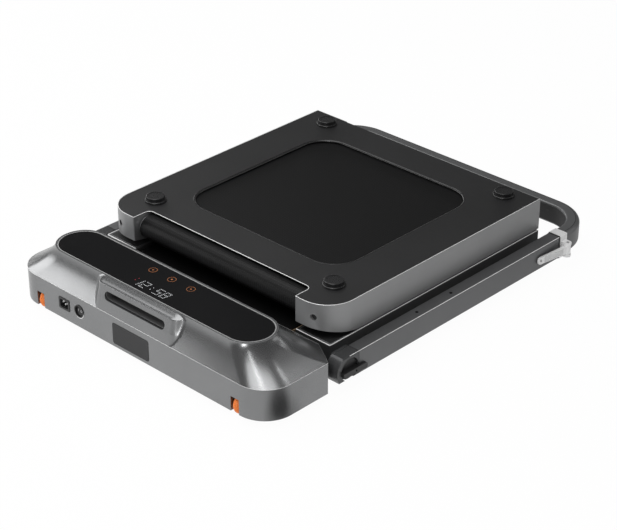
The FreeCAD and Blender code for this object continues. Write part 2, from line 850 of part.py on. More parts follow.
def deck_beams(front_y):
    """Hollow cross beams between the rails, under the deck board."""
    last = fold_y - beam_first
    first = front_y + beam_first
    half = beam_width / 2
    low = beam_top - beam_height
    reach = rail_inner + cut_over
    beams = []
    for y in (first, (first + last) / 2, last):
        outer = box(-rail_inner, rail_inner, y - half, y + half, low, beam_top)
        bore = box(-reach, reach, y - half + beam_wall, y + half - beam_wall,
                   low + beam_wall, beam_top - beam_wall)
        beams.append(outer.cut(bore))
    return Part.makeCompound(beams)


def deck_cushions(front_y):
    """Rubber cushions between the cross beams and the deck board."""
    last = fold_y - beam_first
    first = front_y + beam_first
    cushions = []
    for y in (first, (first + last) / 2, last):
        for x in (-cushion_x, 0, cushion_x):
            cushions.append(rod_z(beam_top, beam_top + cushion_height, x, y, cushion_radius))
    return Part.makeCompound(cushions)


def deck_board(start_y):
    """Board that the belt slides on."""
    half = rail_inner - board_side_gap
    return box(-half, half, start_y, fold_y - end_gap, board_top - deck_board_thick, board_top)


def rubber_foot(x, y, top, bottom):
    """Round foot that hangs below a face at height top."""
    foot = rod_z(bottom, top, x, y, foot_radius)
    rim = [edge for edge in foot.Edges if edge.CenterOfMass.z < bottom + touching]
    foot = foot.makeFillet(foot_edge_radius, rim)
    flange_low = top - foot_flange_thick
    flange = rod_z(flange_low, top, x, y, foot_flange_radius)
    rim = [edge for edge in flange.Edges if edge.CenterOfMass.z < flange_low + touching]
    foot = foot.fuse(flange.makeFillet(foot_flange_edge, rim))
    foot = foot.cut(rod_z(bottom - cut_over, bottom + foot_dish_depth, x, y, foot_dish_radius))
    return foot.removeSplitter()


def deck_feet():
    """The four feet below a bottom plate."""
    far = fold_y - foot_from_fold
    feet = []
    for sign in (-1, 1):
        for y in (far, deck_start + foot_from_head):
            feet.append(rubber_foot(sign * foot_x, y, deck_bottom, ground_z))
    return feet


def belt_profile(roller_y, roller_z, roller_radius, board_start, offset):
    """Edge points of the belt's path (y, z) at one offset from the roller: run, wrap and return."""
    radius = roller_radius + run_gap + offset
    high = V(0, board_start, board_top + offset)
    centre = V(0, roller_y, roller_z)
    reach = high - centre
    angle = math.atan2(reach.z, reach.y) + math.acos(min(radius / reach.Length, 1))

    def on_roller(turn):
        return centre + V(0, radius * math.cos(turn), radius * math.sin(turn))

    bottom = 3 * math.pi / 2
    end = fold_y - end_gap
    return (V(0, end, board_top + offset), high, on_roller(angle), on_roller((angle + bottom) / 2),
            on_roller(bottom), V(0, end, belt_return + belt_thick - offset))


def walking_belt(roller_y, roller_z, roller_radius, board_start):
    """One half of the belt, from the fold round its roller and back."""
    outer = belt_profile(roller_y, roller_z, roller_radius, board_start, belt_thick)
    inner = belt_profile(roller_y, roller_z, roller_radius, board_start, 0)
    edges = []
    for run, high, leave, wrap, bottom, back in (outer, inner):
        edges.append(Part.LineSegment(run, high).toShape())
        edges.append(Part.LineSegment(high, leave).toShape())
        edges.append(Part.Arc(leave, wrap, bottom).toShape())
        edges.append(Part.LineSegment(bottom, back).toShape())
    edges.append(Part.LineSegment(outer[0], inner[0]).toShape())
    edges.append(Part.LineSegment(outer[-1], inner[-1]).toShape())
    wire = Part.Wire(Part.__sortEdges__(edges))
    belt = Part.Face(wire).extrude(V(belt_width, 0, 0))
    belt.translate(V(-belt_half, 0, 0))
    return belt


def roller(y, z, radius):
    """Roller tube."""
    tube = rod_x(-roller_half, roller_half, y, z, radius)
    return tube.cut(rod_x(-roller_half - cut_over, roller_half + cut_over, y, z, radius - roller_wall))


def roller_bearings(y, z, radius):
    """The bearing in each end of a roller."""
    start = roller_half - bearing_width
    ring = rod_x(start, roller_half, y, z, radius - roller_wall)
    bore = axle_radius + pin_play
    return both(ring.cut(rod_x(start - cut_over, roller_half + cut_over, y, z, bore)))


def front_deck():
    plain = rail(deck_start, rail_wall, 0, 0, 0)
    plain = plain.cut(hinge_notch())
    plain = plain.cut(prism_z(strip_plan(deck_start), deck_top - strip_sink, deck_top + cut_over))
    wall_end = deck_start + rail_wall + cut_over
    plain = plain.cut(box(tube_x, tube_x + tube_width, deck_start - cut_over, wall_end,
                          pan_floor, pan_floor + tube_height))
    plain = plain.removeSplitter()
    save("front_rail_right", plain)
    save("front_rail_left", mirrored(plain))
    save("front_foot_strips", both(foot_strip(deck_start)))
    save("front_deck_board", deck_board(front_roller_y + front_roller_radius + belt_drop))
    save("front_cross_beams", deck_beams(deck_start))
    save("front_deck_cushions", deck_cushions(deck_start))
    start = front_roller_y + front_roller_radius
    save("front_belt", walking_belt(front_roller_y, front_roller_z, front_roller_radius, start))
    edge = deck_half - rail_lip
    plan = rectangle(-edge, edge, deck_start + rail_lip, fold_y - end_gap - rail_lip, 0)
    plate = prism_z(plan, deck_bottom, deck_bottom + plate_thick)
    save("front_bottom_plate", plate.cut(prism_z(window_plan(), 0, deck_top)))
    feet = deck_feet()
    for sign in (-1, 1):
        feet.append(rubber_foot(sign * head_foot_x, head_foot_y, head_clearance, ground_z))
    save("front_feet", Part.makeCompound(feet))


def frame_tubes():
    top = pan_floor + tube_height
    tube = box(tube_x, tube_x + tube_width, tube_front, tube_front + tube_length, pan_floor, top)
    tube = tube.cut(box(tube_x + tube_wall, tube_x + tube_width - tube_wall, tube_front - cut_over,
                        tube_front + tube_length + cut_over, pan_floor + tube_wall, top - tube_wall))
    outer = tube_x + tube_width + cut_over
    tube = tube.cut(rod_x(tube_x - cut_over, outer, front_roller_y, front_roller_z, axle_radius))
    save("frame_tubes", both(tube))


def front_roller():
    save("front_roller", roller(front_roller_y, front_roller_z, front_roller_radius))
    save("front_roller_bearings", roller_bearings(front_roller_y, front_roller_z, front_roller_radius))
    reach = tube_x + tube_width
    save("front_roller_axle", rod_x(-reach, reach, front_roller_y, front_roller_z, axle_radius))
    left = pulley_x - pulley_width / 2
    right = pulley_x + pulley_width / 2
    pulley = rod_x(left, right, front_roller_y, front_roller_z, roller_pulley_radius)
    pulley = pulley.fuse(rod_x(roller_half, left, front_roller_y, front_roller_z, pulley_hub_radius))
    bore = axle_radius + pulley_rim
    pulley = pulley.cut(rod_x(roller_half - cut_over, right + cut_over, front_roller_y, front_roller_z,
                              bore))
    save("front_roller_pulley", pulley.removeSplitter())


def rear_deck():
    cheek = rail(cheek_y, cheek_wall, cheek_radius, cheek_slope_length, cheek_slope_drop)
    cheek = cheek.cut(hinge_notch())
    strip_front = cheek_y + cheek_slope_length
    cheek = cheek.cut(prism_z(strip_plan(strip_front), deck_top - strip_sink, deck_top + cut_over))
    cheek = cheek.cut(rod_x(rail_inner - cut_over, rail_inner + rail_wall + cut_over, rear_roller_y,
                            rear_roller_z, axle_radius))
    head_floor = cheek_y + bolt_head_sink + bolt_head_length
    wall_end = cheek_y + cheek_wall + cut_over
    cheek = cheek.cut(rod_y(cheek_y - cut_over, head_floor, bolt_x, rear_roller_z, bolt_head_radius))
    cheek = cheek.cut(rod_y(head_floor - touching, wall_end, bolt_x, rear_roller_z, bolt_radius))
    cheek = flipped(cheek.removeSplitter())
    save("rear_rail_right", cheek)
    save("rear_rail_left", mirrored(cheek))
    save("rear_foot_strips", flipped(both(foot_strip(strip_front))))
    board_start = cheek_y + board_back
    save("rear_deck_board", flipped(deck_board(board_start)))
    save("rear_cross_beams", flipped(deck_beams(board_start)))
    save("rear_deck_cushions", flipped(deck_cushions(board_start)))
    save("rear_belt", flipped(walking_belt(rear_roller_y, rear_roller_z, rear_roller_radius, board_start)))
    edge = deck_half - rail_lip
    front = cheek_y + rail_lip
    far = fold_y - end_gap - rail_lip
    outer_radius = cheek_radius - rail_lip
    plan = [(-edge, far, 0), (-edge, front, outer_radius), (-rail_inner, front, cheek_tip_radius),
            (-rail_inner, notch_y, notch_radius), (rail_inner, notch_y, notch_radius),
            (rail_inner, front, cheek_tip_radius), (edge, front, outer_radius), (edge, far, 0)]
    plate = prism_z(plan, deck_bottom, deck_bottom + plate_thick)
    save("rear_bottom_plate", flipped(plate.cut(prism_z(window_plan(), 0, deck_top))))
    save("rear_feet", flipped(Part.makeCompound(deck_feet())))
    save("rear_roller", flipped(roller(rear_roller_y, rear_roller_z, rear_roller_radius)))
    save("rear_roller_bearings", flipped(roller_bearings(rear_roller_y, rear_roller_z, rear_roller_radius)))
    reach = bolt_x + axle_end
    axle = rod_x(-reach, reach, rear_roller_y, rear_roller_z, axle_radius)
    tail = rear_roller_y + bolt_tail
    for sign in (-1, 1):
        axle = axle.cut(rod_y(cheek_y, tail, sign * bolt_x, rear_roller_z, bolt_radius))
    save("rear_roller_axle", flipped(axle))
    bolt = rod_y(cheek_y + bolt_head_sink, head_floor, bolt_x, rear_roller_z, bolt_head_radius)
    bolt = bolt.fuse(rod_y(head_floor, tail, bolt_x, rear_roller_z, bolt_radius))
    save("tension_bolts", flipped(both(bolt.removeSplitter())))


def fold_hinge():
    middle_half = hinge_middle_width / 2
    knuckle_in = middle_half + hinge_knuckle_gap
    knuckle_out = knuckle_in + hinge_knuckle_width
    leaf_top = web_top + hinge_leaf_thick
    end = fold_y - end_gap

    def at_pin(x0, x1, radius):
        return rod_x(hinge_x + x0, hinge_x + x1, fold_y, hinge_z, radius)

    def leaf(spans):
        """Leaf with knuckles on the given stretches of the pin, counted from the hinge's middle."""
        past = knuckle_out + cut_over
        bar = box(hinge_x - knuckle_out, hinge_x + knuckle_out, end - hinge_leaf_length, end,
                  web_top, leaf_top)
        bar = bar.cut(at_pin(-past, past, hinge_knuckle_radius + hinge_knuckle_gap))
        for x0, x1 in spans:
            bar = bar.fuse(at_pin(x0, x1, hinge_knuckle_radius))
            bar = bar.fuse(box(hinge_x + x0, hinge_x + x1, fold_y - hinge_knuckle_radius, end,
                               leaf_top - hinge_knuckle_radius, hinge_z))
        bar = bar.cut(at_pin(-past, past, hinge_pin_radius + pin_play))
        return bar.removeSplitter()

    save("fold_hinge_front_leaves", both(leaf([(-knuckle_out, -knuckle_in), (knuckle_in, knuckle_out)])))
    save("fold_hinge_rear_leaves", flipped(both(leaf([(-middle_half, middle_half)]))))
    save("fold_hinge_pins", both(at_pin(-knuckle_out, knuckle_out, hinge_pin_radius)))


# Handrail, drawn on the right

def post_section(inset):
    """Section corners (x, z, radius) of a post, drawn in by an inset."""
    radius = max(post_edge_radius - inset, 0)
    return rectangle(post_x + inset, post_outer - inset, post_bottom + inset, post_top - inset, radius)


def handrail_post():
    tube = prism_y(post_section(0), post_start, post_end)
    tube = tube.cut(prism_y(post_section(post_wall), post_start - cut_over, post_end + cut_over))
    save("post_right", tube)
    save("post_left", mirrored(tube))


def post_knuckle():
    nose = rod_x(post_x, post_outer, pivot_y, pivot_z, knuckle_radius)
    block = nose.fuse(box(post_x, post_outer, pivot_y, post_start, post_bottom, post_top))
    block = block.common(prism_y(post_section(0), pivot_y - knuckle_radius - cut_over, post_start))
    pin_end = post_x + pivot_pin_reach
    block = block.cut(rod_x(post_x - cut_over, pin_end, pivot_y, pivot_z, pivot_pin_radius + pin_play))
    recess_floor = post_outer - knob_recess_depth
    block = block.cut(rod_x(recess_floor, post_outer + cut_over, pivot_y, pivot_z, knob_recess_radius))
    block = block.cut(rod_x(recess_floor - knob_spindle_length, recess_floor + cut_over, pivot_y, pivot_z,
                            knob_spindle_radius + pin_play))
    save("post_knuckles", both(block.removeSplitter()))
    bracket_side = rectangle(deck_start, deck_start + bracket_length, bracket_bottom,
                             bracket_bottom + bracket_height, bracket_radius)
    bracket = prism_x(bracket_side, deck_half, post_x - bracket_gap)
    bracket = bracket.cut(rod_x(deck_half - cut_over, post_x, pivot_y, pivot_z, pivot_pin_radius))
    save("handrail_brackets", both(bracket))
    pin = rod_x(deck_half, pin_end - run_gap, pivot_y, pivot_z, pivot_pin_radius)
    save("handrail_pivot_pins", both(pin))


def lock_knob():
    floor = post_outer - knob_recess_depth + run_gap
    bar_low = pivot_z - knob_bar_drop - knob_bar_height / 2
    bar_high = bar_low + knob_bar_height
    outer = post_outer + knob_bar_rise
    knob = rod_x(floor, floor + knob_disc_thick, pivot_y, pivot_z, knob_radius)
    grip = rod_x(floor, outer, pivot_y, pivot_z, knob_radius)
    grip = grip.common(box(floor, outer, pivot_y - knob_radius, pivot_y + knob_radius, bar_low, bar_high))
    tab = prism_x(rectangle(pivot_y, pivot_y + knob_tab_reach, bar_low, bar_high, knob_tab_radius),
                  post_outer + knob_tab_gap, outer)
    knob = knob.fuse(grip).fuse(tab)
    spindle_end = floor - knob_spindle_length + 2 * run_gap
    knob = knob.fuse(rod_x(spindle_end, floor, pivot_y, pivot_z, knob_spindle_radius))
    eye_z = (bar_low + bar_high) / 2
    knob = knob.cut(rod_x(post_outer, outer + cut_over, pivot_y + knob_eye_y, eye_z, knob_eye_radius))
    knob = knob.removeSplitter()
    save("knob_right", knob)
    save("knob_left", mirrored(knob))


def clamp_collar():
    outside = [(post_x - collar_wall, post_bottom - collar_wall, post_edge_radius),
               (post_outer + collar_wall, post_bottom - collar_wall, post_edge_radius),
               (post_outer + collar_wall, post_top + collar_wall, post_edge_radius),
               (post_x - collar_wall, post_top + collar_wall, post_edge_radius)]
    collar = prism_y(outside, post_end, collar_end)
    collar = collar.cut(prism_y(post_section(post_wall), post_end - cut_over, collar_end + cut_over))
    pin_x = post_outer + ear_out
    pin_y = post_end + ear_back
    for z in (ear_low_z, ear_high_z - ear_thick):
        ear = rod_z(z, z + ear_thick, pin_x, pin_y, ear_radius)
        ear = ear.fuse(box(post_outer, pin_x, pin_y - ear_radius, pin_y + ear_radius, z, z + ear_thick))
        collar = collar.fuse(ear)
    collar = collar.cut(rod_z(ear_low_z - cut_over, ear_high_z + cut_over, pin_x, pin_y, lever_pin_radius))
    save("clamp_collars", both(collar.removeSplitter()))
    save("lever_pins", both(rod_z(ear_low_z, ear_high_z, pin_x, pin_y, lever_pin_radius)))


def clamp_lever():
    pin_x = post_outer + ear_out
    pin_y = post_end + ear_back
    low = ear_low_z + ear_thick + lever_gap
    high = ear_high_z - ear_thick - lever_gap
    hub = rod_z(low, high, pin_x, pin_y, lever_hub_radius)
    tip_y = pin_y - lever_reach
    inner_x = post_outer + lever_stand
    outer_x = inner_x + lever_thick
    arm_low = (low + high - lever_height) / 2
    arm_high = arm_low + lever_height
    root_half = lever_root_thick / 2
    plan = [(inner_x, tip_y, 0), (outer_x, tip_y, 0),
            (pin_x + root_half, pin_y, 0), (pin_x - root_half, pin_y, 0)]
    arm = prism_z(plan, arm_low, arm_high)
    root_y = pin_y + lever_hub_radius
    side = [(tip_y, arm_low, lever_tip_radius), (root_y, arm_low, 0),
            (root_y, arm_high, 0), (tip_y, arm_high, lever_tip_radius)]
    arm = arm.common(prism_x(side, inner_x - cut_over, pin_x + ear_radius + cut_over))
    lever = hub.fuse(arm)
    lever = lever.cut(rod_z(low - cut_over, high + cut_over, pin_x, pin_y, lever_pin_radius + pin_play))
    eye_y = tip_y + lever_height / 2
    eye_z = (low + high) / 2
    lever = lever.cut(rod_x(inner_x - cut_over, pin_x, eye_y, eye_z, lever_eye_radius))
    lever = lever.removeSplitter()
    save("lever_right", lever)
    save("lever_left", mirrored(lever))


def bar_path(start, z):
    """Middle line of the grab bar at one height, from leg to leg, the legs starting at y = start."""
    x = post_outer - post_width / 2
    far = pad_length - post_width / 2
    bend = bar_bend_radius
    middle = bend * quarter_arc_share
    right = [V(x, start, z), V(x, far - bend, z), V(x - middle, far - middle, z), V(x - bend, far, z)]
    left = [V(-p.x, p.y, p.z) for p in right]
    edges = [Part.LineSegment(right[0], right[1]).toShape(),
             Part.Arc(right[1], right[2], right[3]).toShape(),
             Part.LineSegment(right[3], left[3]).toShape(),
             Part.Arc(left[3], left[2], left[1]).toShape(),
             Part.LineSegment(left[1], left[0]).toShape()]
    return Part.Wire(edges)


def along_bar(points, start):
    """Solid swept round the grab bar from a section (x, z, radius) at the right-hand leg."""
    section = rounded_wire(points, lambda p: V(p.x, start, p.y))
    return bar_path(start, post_top - bar_height / 2).makePipeShell([section], True, False)


def grab_bar():
    low = post_top - bar_height
    outside = [(post_x, low, bar_edge_radius), (post_outer, low, bar_edge_radius),
               (post_outer, post_top, bar_outer_radius), (post_x, post_top, bar_edge_radius)]
    bar = along_bar(outside, bar_start)
    liner_low = post_top - bar_height / 2 - liner_height / 2
    liner_high = liner_low + liner_height
    liner_back = post_x + liner_depth
    groove = rectangle(post_x - cut_over, liner_back, liner_low, liner_high, 0)
    hollow = rectangle(liner_back + bar_wall, post_outer - bar_wall, low + bar_wall, post_top - bar_wall, 0)
    bar = bar.cut(along_bar(groove, bar_start))
    save("grab_bar", bar.cut(along_bar(hollow, bar_start + bar_plug)))
    liner = rectangle(post_x - liner_proud, liner_back, liner_low, liner_high, 0)
    save("grab_bar_liner", along_bar(liner, bar_start))
    gap = post_wall + slide_gap
    start = bar_start - inner_length
    tube = prism_y(post_section(gap), start, bar_start)
    tube = tube.cut(prism_y(post_section(gap + inner_wall), start - cut_over, bar_start + cut_over))
    save("inner_tubes", both(tube))


def main():
    os.makedirs("parts", exist_ok=True)
    head_base_pan()
    head_top_cover()
    control_panel()
    handle_pocket()
    power_inlet()
    power_switch()
    drive_motor()
    drive_belt()
    motor_controller()
    transport_wheels()
    front_deck()
    frame_tubes()
    front_roller()
    rear_deck()
    fold_hinge()
    handrail_post()
    post_knuckle()
    lock_knob()
    clamp_collar()
    clamp_lever()
    grab_bar()


main()
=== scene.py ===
"""Looks of a folding walking pad: finishes, panel graphics, trims and small parts round its fixed frame.

Lengths are in metres.  Y runs from the motor head to the fold, X across the pad and Z up from the floor.
"""

import json
import math

import bmesh
import bpy
from bpy.props import FloatProperty, FloatVectorProperty, IntProperty, PointerProperty
from bpy.types import Operator, Panel, PropertyGroup
from mathutils import Matrix, Vector


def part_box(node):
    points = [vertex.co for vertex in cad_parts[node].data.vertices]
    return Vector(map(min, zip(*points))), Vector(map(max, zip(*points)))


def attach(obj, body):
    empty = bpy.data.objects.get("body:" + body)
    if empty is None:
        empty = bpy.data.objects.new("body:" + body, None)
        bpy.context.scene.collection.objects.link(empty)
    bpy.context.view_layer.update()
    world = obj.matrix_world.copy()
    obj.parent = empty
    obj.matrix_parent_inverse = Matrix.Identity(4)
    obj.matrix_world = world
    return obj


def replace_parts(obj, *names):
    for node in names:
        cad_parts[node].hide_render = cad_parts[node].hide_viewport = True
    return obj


bl_info = {
    "name": "Folding walking pad",
    "version": (1, 0, 0),
    "blender": (4, 5, 0),
    "location": "View3D > Sidebar > Walking pad",
    "description": "Dresses the frame of a folding walking pad with its finishes, trims and panel graphics",
    "category": "Object",
}

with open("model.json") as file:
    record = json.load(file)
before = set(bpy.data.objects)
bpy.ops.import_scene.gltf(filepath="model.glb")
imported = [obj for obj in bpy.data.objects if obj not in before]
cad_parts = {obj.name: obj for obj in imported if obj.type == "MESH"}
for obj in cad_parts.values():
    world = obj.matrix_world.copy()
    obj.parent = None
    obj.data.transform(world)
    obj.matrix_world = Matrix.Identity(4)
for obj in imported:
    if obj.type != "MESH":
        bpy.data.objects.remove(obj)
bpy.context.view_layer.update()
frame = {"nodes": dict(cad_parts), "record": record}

# Places read from the frame
pan_low, pan_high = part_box("head_base_pan")
cover_low, cover_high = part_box("head_top_cover")
glass_low, glass_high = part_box("control_glass")
trim_low, trim_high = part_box("panel_trim")
pocket_low, pocket_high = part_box("handle_pocket")
inlet_low, inlet_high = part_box("power_inlet")
bezel_low, bezel_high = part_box("switch_bezel")
rocker_low, rocker_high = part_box("power_rocker")
post_low, post_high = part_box("post_right")
lever_low, lever_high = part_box("lever_right")
bar_low, bar_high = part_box("grab_bar")
rear_rail_low, rear_rail_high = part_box("rear_rail_right")
front_rail_low, front_rail_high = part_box("front_rail_right")
pins_low, pins_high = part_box("lever_pins")
plate_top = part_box("rear_bottom_plate")[1].z

head_front = pan_low.y
split_z = cover_low.z
post_top = post_high.z
post_outer = post_high.x
post_inner = post_low.x
trim_middle = (trim_low.y + trim_high.y) / 2
trim_radius = (trim_high.y - trim_low.y) / 2

# Names of finishes, and welding and smoothing of copied frame pieces
finish_prefix = "finish_"
weld_gap = 1e-5
flat_turn = math.radians(0.6)
sharp_turn = math.radians(28)

# Steps round small turned parts
small_steps = 24


def length(name, description, default):
    """Property for a size in metres."""
    return FloatProperty(name=name, description=description, default=default, unit="LENGTH", precision=4)


def colour(name, description, default):
    """Property for a surface colour."""
    return FloatVectorProperty(name=name, description=description, default=default, subtype="COLOR",
                               min=0, max=1)


def share(name, description, default):
    """Property for a plain factor from zero to one."""
    return FloatProperty(name=name, description=description, default=default, subtype="FACTOR", min=0, max=1)


def angle(name, description, default):
    """Property for an angle in radians."""
    return FloatProperty(name=name, description=description, default=default, unit="ROTATION")


def film(name, description, default):
    """Property for a size of the camera in millimetres."""
    return FloatProperty(name=name, description=description, default=default, subtype="DISTANCE_CAMERA")


def spot(name, description, default):
    """Property for a point."""
    return FloatVectorProperty(name=name, description=description, default=default, subtype="XYZ")


def reach(name, description, default):
    """Property for a near and a far distance."""
    return FloatVectorProperty(name=name, description=description, default=default, size=2, unit="LENGTH")


class PadColours(PropertyGroup):
    """Colours of the pad's finishes."""
    head: colour("Head", "Satin metal of the motor head", (0.25, 0.253, 0.256))
    # Noses: the post paint darkened as painted shade for the dark reflection on their fronts
    rail: colour("Rails", "Anodised side rails and cheeks", (0.32, 0.322, 0.325))
    # Front rails: the same anodised metal as the rear rails, darkened as painted shade for the gap beside the
    # posts
    dark: colour("Front rails", "Dark side rails of the front half", (0.100, 0.101, 0.103))
    post: colour("Posts", "Painted handrail posts", (0.155, 0.157, 0.160))
    nose: colour("Noses", "Knuckles at the posts' lower ends", (0.070, 0.071, 0.073))
    bar: colour("Grab bar", "Painted grab bar", (0.165, 0.167, 0.170))
    # Silver: the own colour of the clamps and levers, and also the colour of the bright lines and the glint
    # below the switch, which are painted highlights
    silver: colour("Silver", "Bare alloy edges, clamps and levers", (0.90, 0.90, 0.90))
    rib: colour("Rib panel", "Shaded panel between a lever's ribs", (0.60, 0.60, 0.60))
    sheet: colour("Bottom sheet", "Black grained sheet under the deck", (0.014, 0.014, 0.0144))
    belt: colour("Belt", "Woven walking belt", (0.0036, 0.0036, 0.0038))
    rubber: colour("Rubber", "Feet, strips and liners", (0.014, 0.014, 0.0145))
    glass: colour("Panel glass", "Black control glass", (0.0065, 0.0065, 0.007))
    plastic: colour("Black plastic", "Inlet, switch and pocket", (0.012, 0.012, 0.0125))
    pocket: colour("Carry slot", "Lining of the carry slot", (0.075, 0.075, 0.076))
    # Marks: printed, with a faint glow that is painted light
    mark: colour("Marks", "Printed marks on the switch", (0.42, 0.42, 0.42))
    # Holes: a flat dark disc stands for each small hole; its darkness is painted shade
    hole: colour("Holes", "Dark inside of small holes", (0.003, 0.003, 0.003))
    knob: colour("Knobs", "Locking knobs", (0.017, 0.017, 0.0175))
    plate: colour("Bare plate", "Plain plate on the head's front", (0.030, 0.030, 0.031))
    trim: colour("Panel trim", "Ring round the control glass", (0.42, 0.42, 0.42))
    wheel: colour("Wheels", "Transport wheels", (0.86, 0.20, 0.022))
    # Key rings: printed, with a glow that is painted light
    ring: colour("Key rings", "Printed rings of the touch keys", (0.40, 0.135, 0.04))
    digit: colour("Digits", "Lit digits of the display", (0.86, 0.88, 0.90))
    lamp: colour("Lamps", "Small red lamps beside the digits", (0.55, 0.03, 0.045))
    steel: colour("Steel", "Rollers, axles and pins", (0.52, 0.52, 0.53))
    wood: colour("Deck board", "Board under the belt", (0.27, 0.19, 0.12))


class PanelSizes(PropertyGroup):
    """Sizes of the graphics on the control glass."""
    graphic_lift: length("Graphic height", "Thickness of the printed graphics", 0.00018)
    key_radius: length("Key radius", "Radius of a key's ring", 0.0088)
    key_line: length("Key line", "Width of a key's ring", 0.0007)
    key_spacing: length("Key spacing", "Distance between keys", 0.0535)
    key_back: length("Key place", "Distance of the keys from the front of the glass", 0.0719)
    glyph_size: length("Sign size", "Size of the sign inside a key", 0.0042)
    digit_width: length("Digit width", "Width of a display digit", 0.0115)
    digit_height: length("Digit height", "Height of a display digit", 0.0205)
    digit_step: length("Digit step", "Distance from digit to digit", 0.0190)
    digit_front: length("Digit place", "Distance of the digits from the front of the glass", 0.0115)
    digit_side: length("Digit side", "Distance of the digits' middle from the glass's middle", -0.0035)
    dot_size: length("Dot size", "Size of one lit dot", 0.0015)
    digit_lean: share("Digit lean", "Slope of the digits", 0.18)
    dots_per_bar: IntProperty(name="Dots", description="Lit dots along one bar of a digit", default=4, min=2)


class HeadSizes(PropertyGroup):
    """Sizes of the motor head's shells and trims."""
    edge: length("Edge", "Rounding of the head's edges", 0.0009)
    front_radius: length("Front corner", "Corner radius of the head's front at the parting line", 0.065)
    side_depth: length("Side depth", "Depth of the head along its sides", 0.1636)
    rear_cut: length("Rear cut", "Width of the slanting rear corners", 0.060)
    rear_bulge: share("Rear bulge", "Roundness of the slanting rear corners", 0.1)
    rim: length("Rim", "Width of the metal rim round the panel", 0.0034)
    rim_flat: length("Rim flat", "Short straight stretch at the ends of the rim", 0.001)
    flare: FloatProperty(name="Flare", description="Power that bends the skirt in to the rim", default=1.45)
    boss_half: length("Boss half width", "Half width of the flat front of the carry boss", 0.098)
    boss_lean: length("Boss lean", "How far the boss leans back at its top edge", 0.011)
    boss_rise: length("Boss rise", "Height of the boss's top edge above the parting line", 0.054)
    boss_top: length("Boss top", "Rise of the boss's top from its edge to the rim", 0.0055)
    boss_corner: length("Boss corner", "Radius of the boss's upright corners", 0.018)
    boss_turn: angle("Boss turn", "How far the corners turn back", 1.02)
    boss_valley: length("Boss valley", "Width of the soft valleys beside the boss", 0.014)
    boss_edge: length("Boss edge", "Width of the rounding along the boss's top edge", 0.0042)
    slot_wall: length("Slot wall", "Depth of the slot's wall", 0.004)
    line_height: length("Parting line", "Height of the parting line", 0.0008)
    line_proud: length("Line proud", "How far the parting line stands out", 0.0002)
    plate_width: length("Plate width", "Width of the bare plate", 0.103)
    plate_height: length("Plate height", "Height of the bare plate", 0.0465)
    plate_side: length("Plate side", "Middle of the bare plate, across the head", -0.0075)
    plate_drop: length("Plate drop", "Upper edge of the bare plate below the parting line", 0.0135)
    plate_thick: length("Plate thickness", "Thickness of the bare plate", 0.0005)
    plate_radius: length("Plate corner", "Corner radius of the bare plate", 0.005)


class DeckSizes(PropertyGroup):
    """Sizes of the trims on the deck halves."""
    sheet_edge: length("Sheet edge", "Rounding of the bottom sheet's edges", 0.0007)
    # Lip: a bright bead along the rear rails round the sheet, a painted highlight
    lip: length("Lip", "Width of the bright lip round the rear deck's sheet", 0.0016)
    lip_proud: length("Lip proud", "How far lips and beads stand out", 0.0005)
    # Rail edge: a bright bead along the front rails' outer edges, a painted highlight
    edge: length("Rail edge", "Width of the bright edge on the front rails", 0.0026)
    highlight_proud: length("Edge proud", "How far the bright edge of the front rails stands out", 0.0013)
    bead: length("Bead", "Width of the beads beside the foot strips", 0.0011)
    sink: length("Sink", "Depth that trims reach into the piece below", 0.0004)
    cheek_radius: length("Cheek", "Corner radius of the cheeks", 0.065)
    cheek_tip: length("Cheek tip", "Corner radius at the cheeks' inner ends", 0.003)
    notch_depth: length("Notch", "Depth of the notch over the roller", 0.044)
    notch_radius: length("Notch corner", "Corner radius of the notch", 0.012)
    window_half: length("Window half", "Half width of the window in the sheet", 0.219)
    window_front: length("Window front", "Distance of the window from the cheeks' ends", 0.1225)
    window_back: length("Window back", "Distance of the window from the fold", 0.0835)
    window_radius: length("Window corner", "Corner radius of the window", 0.065)
    window_lip: length("Window lip", "Width of the rolled lip round the window", 0.0045)
    window_drop: length("Window drop", "How far the rolled lip goes down into the window", 0.0032)
    window_rise: length("Window rise", "How far the rolled lip stands out", 0.0002)
    grain: length("Grain", "Size of the grain on the bottom sheet", 0.0006)
    weave: length("Weave", "Pitch of the belt's weave", 0.0052)


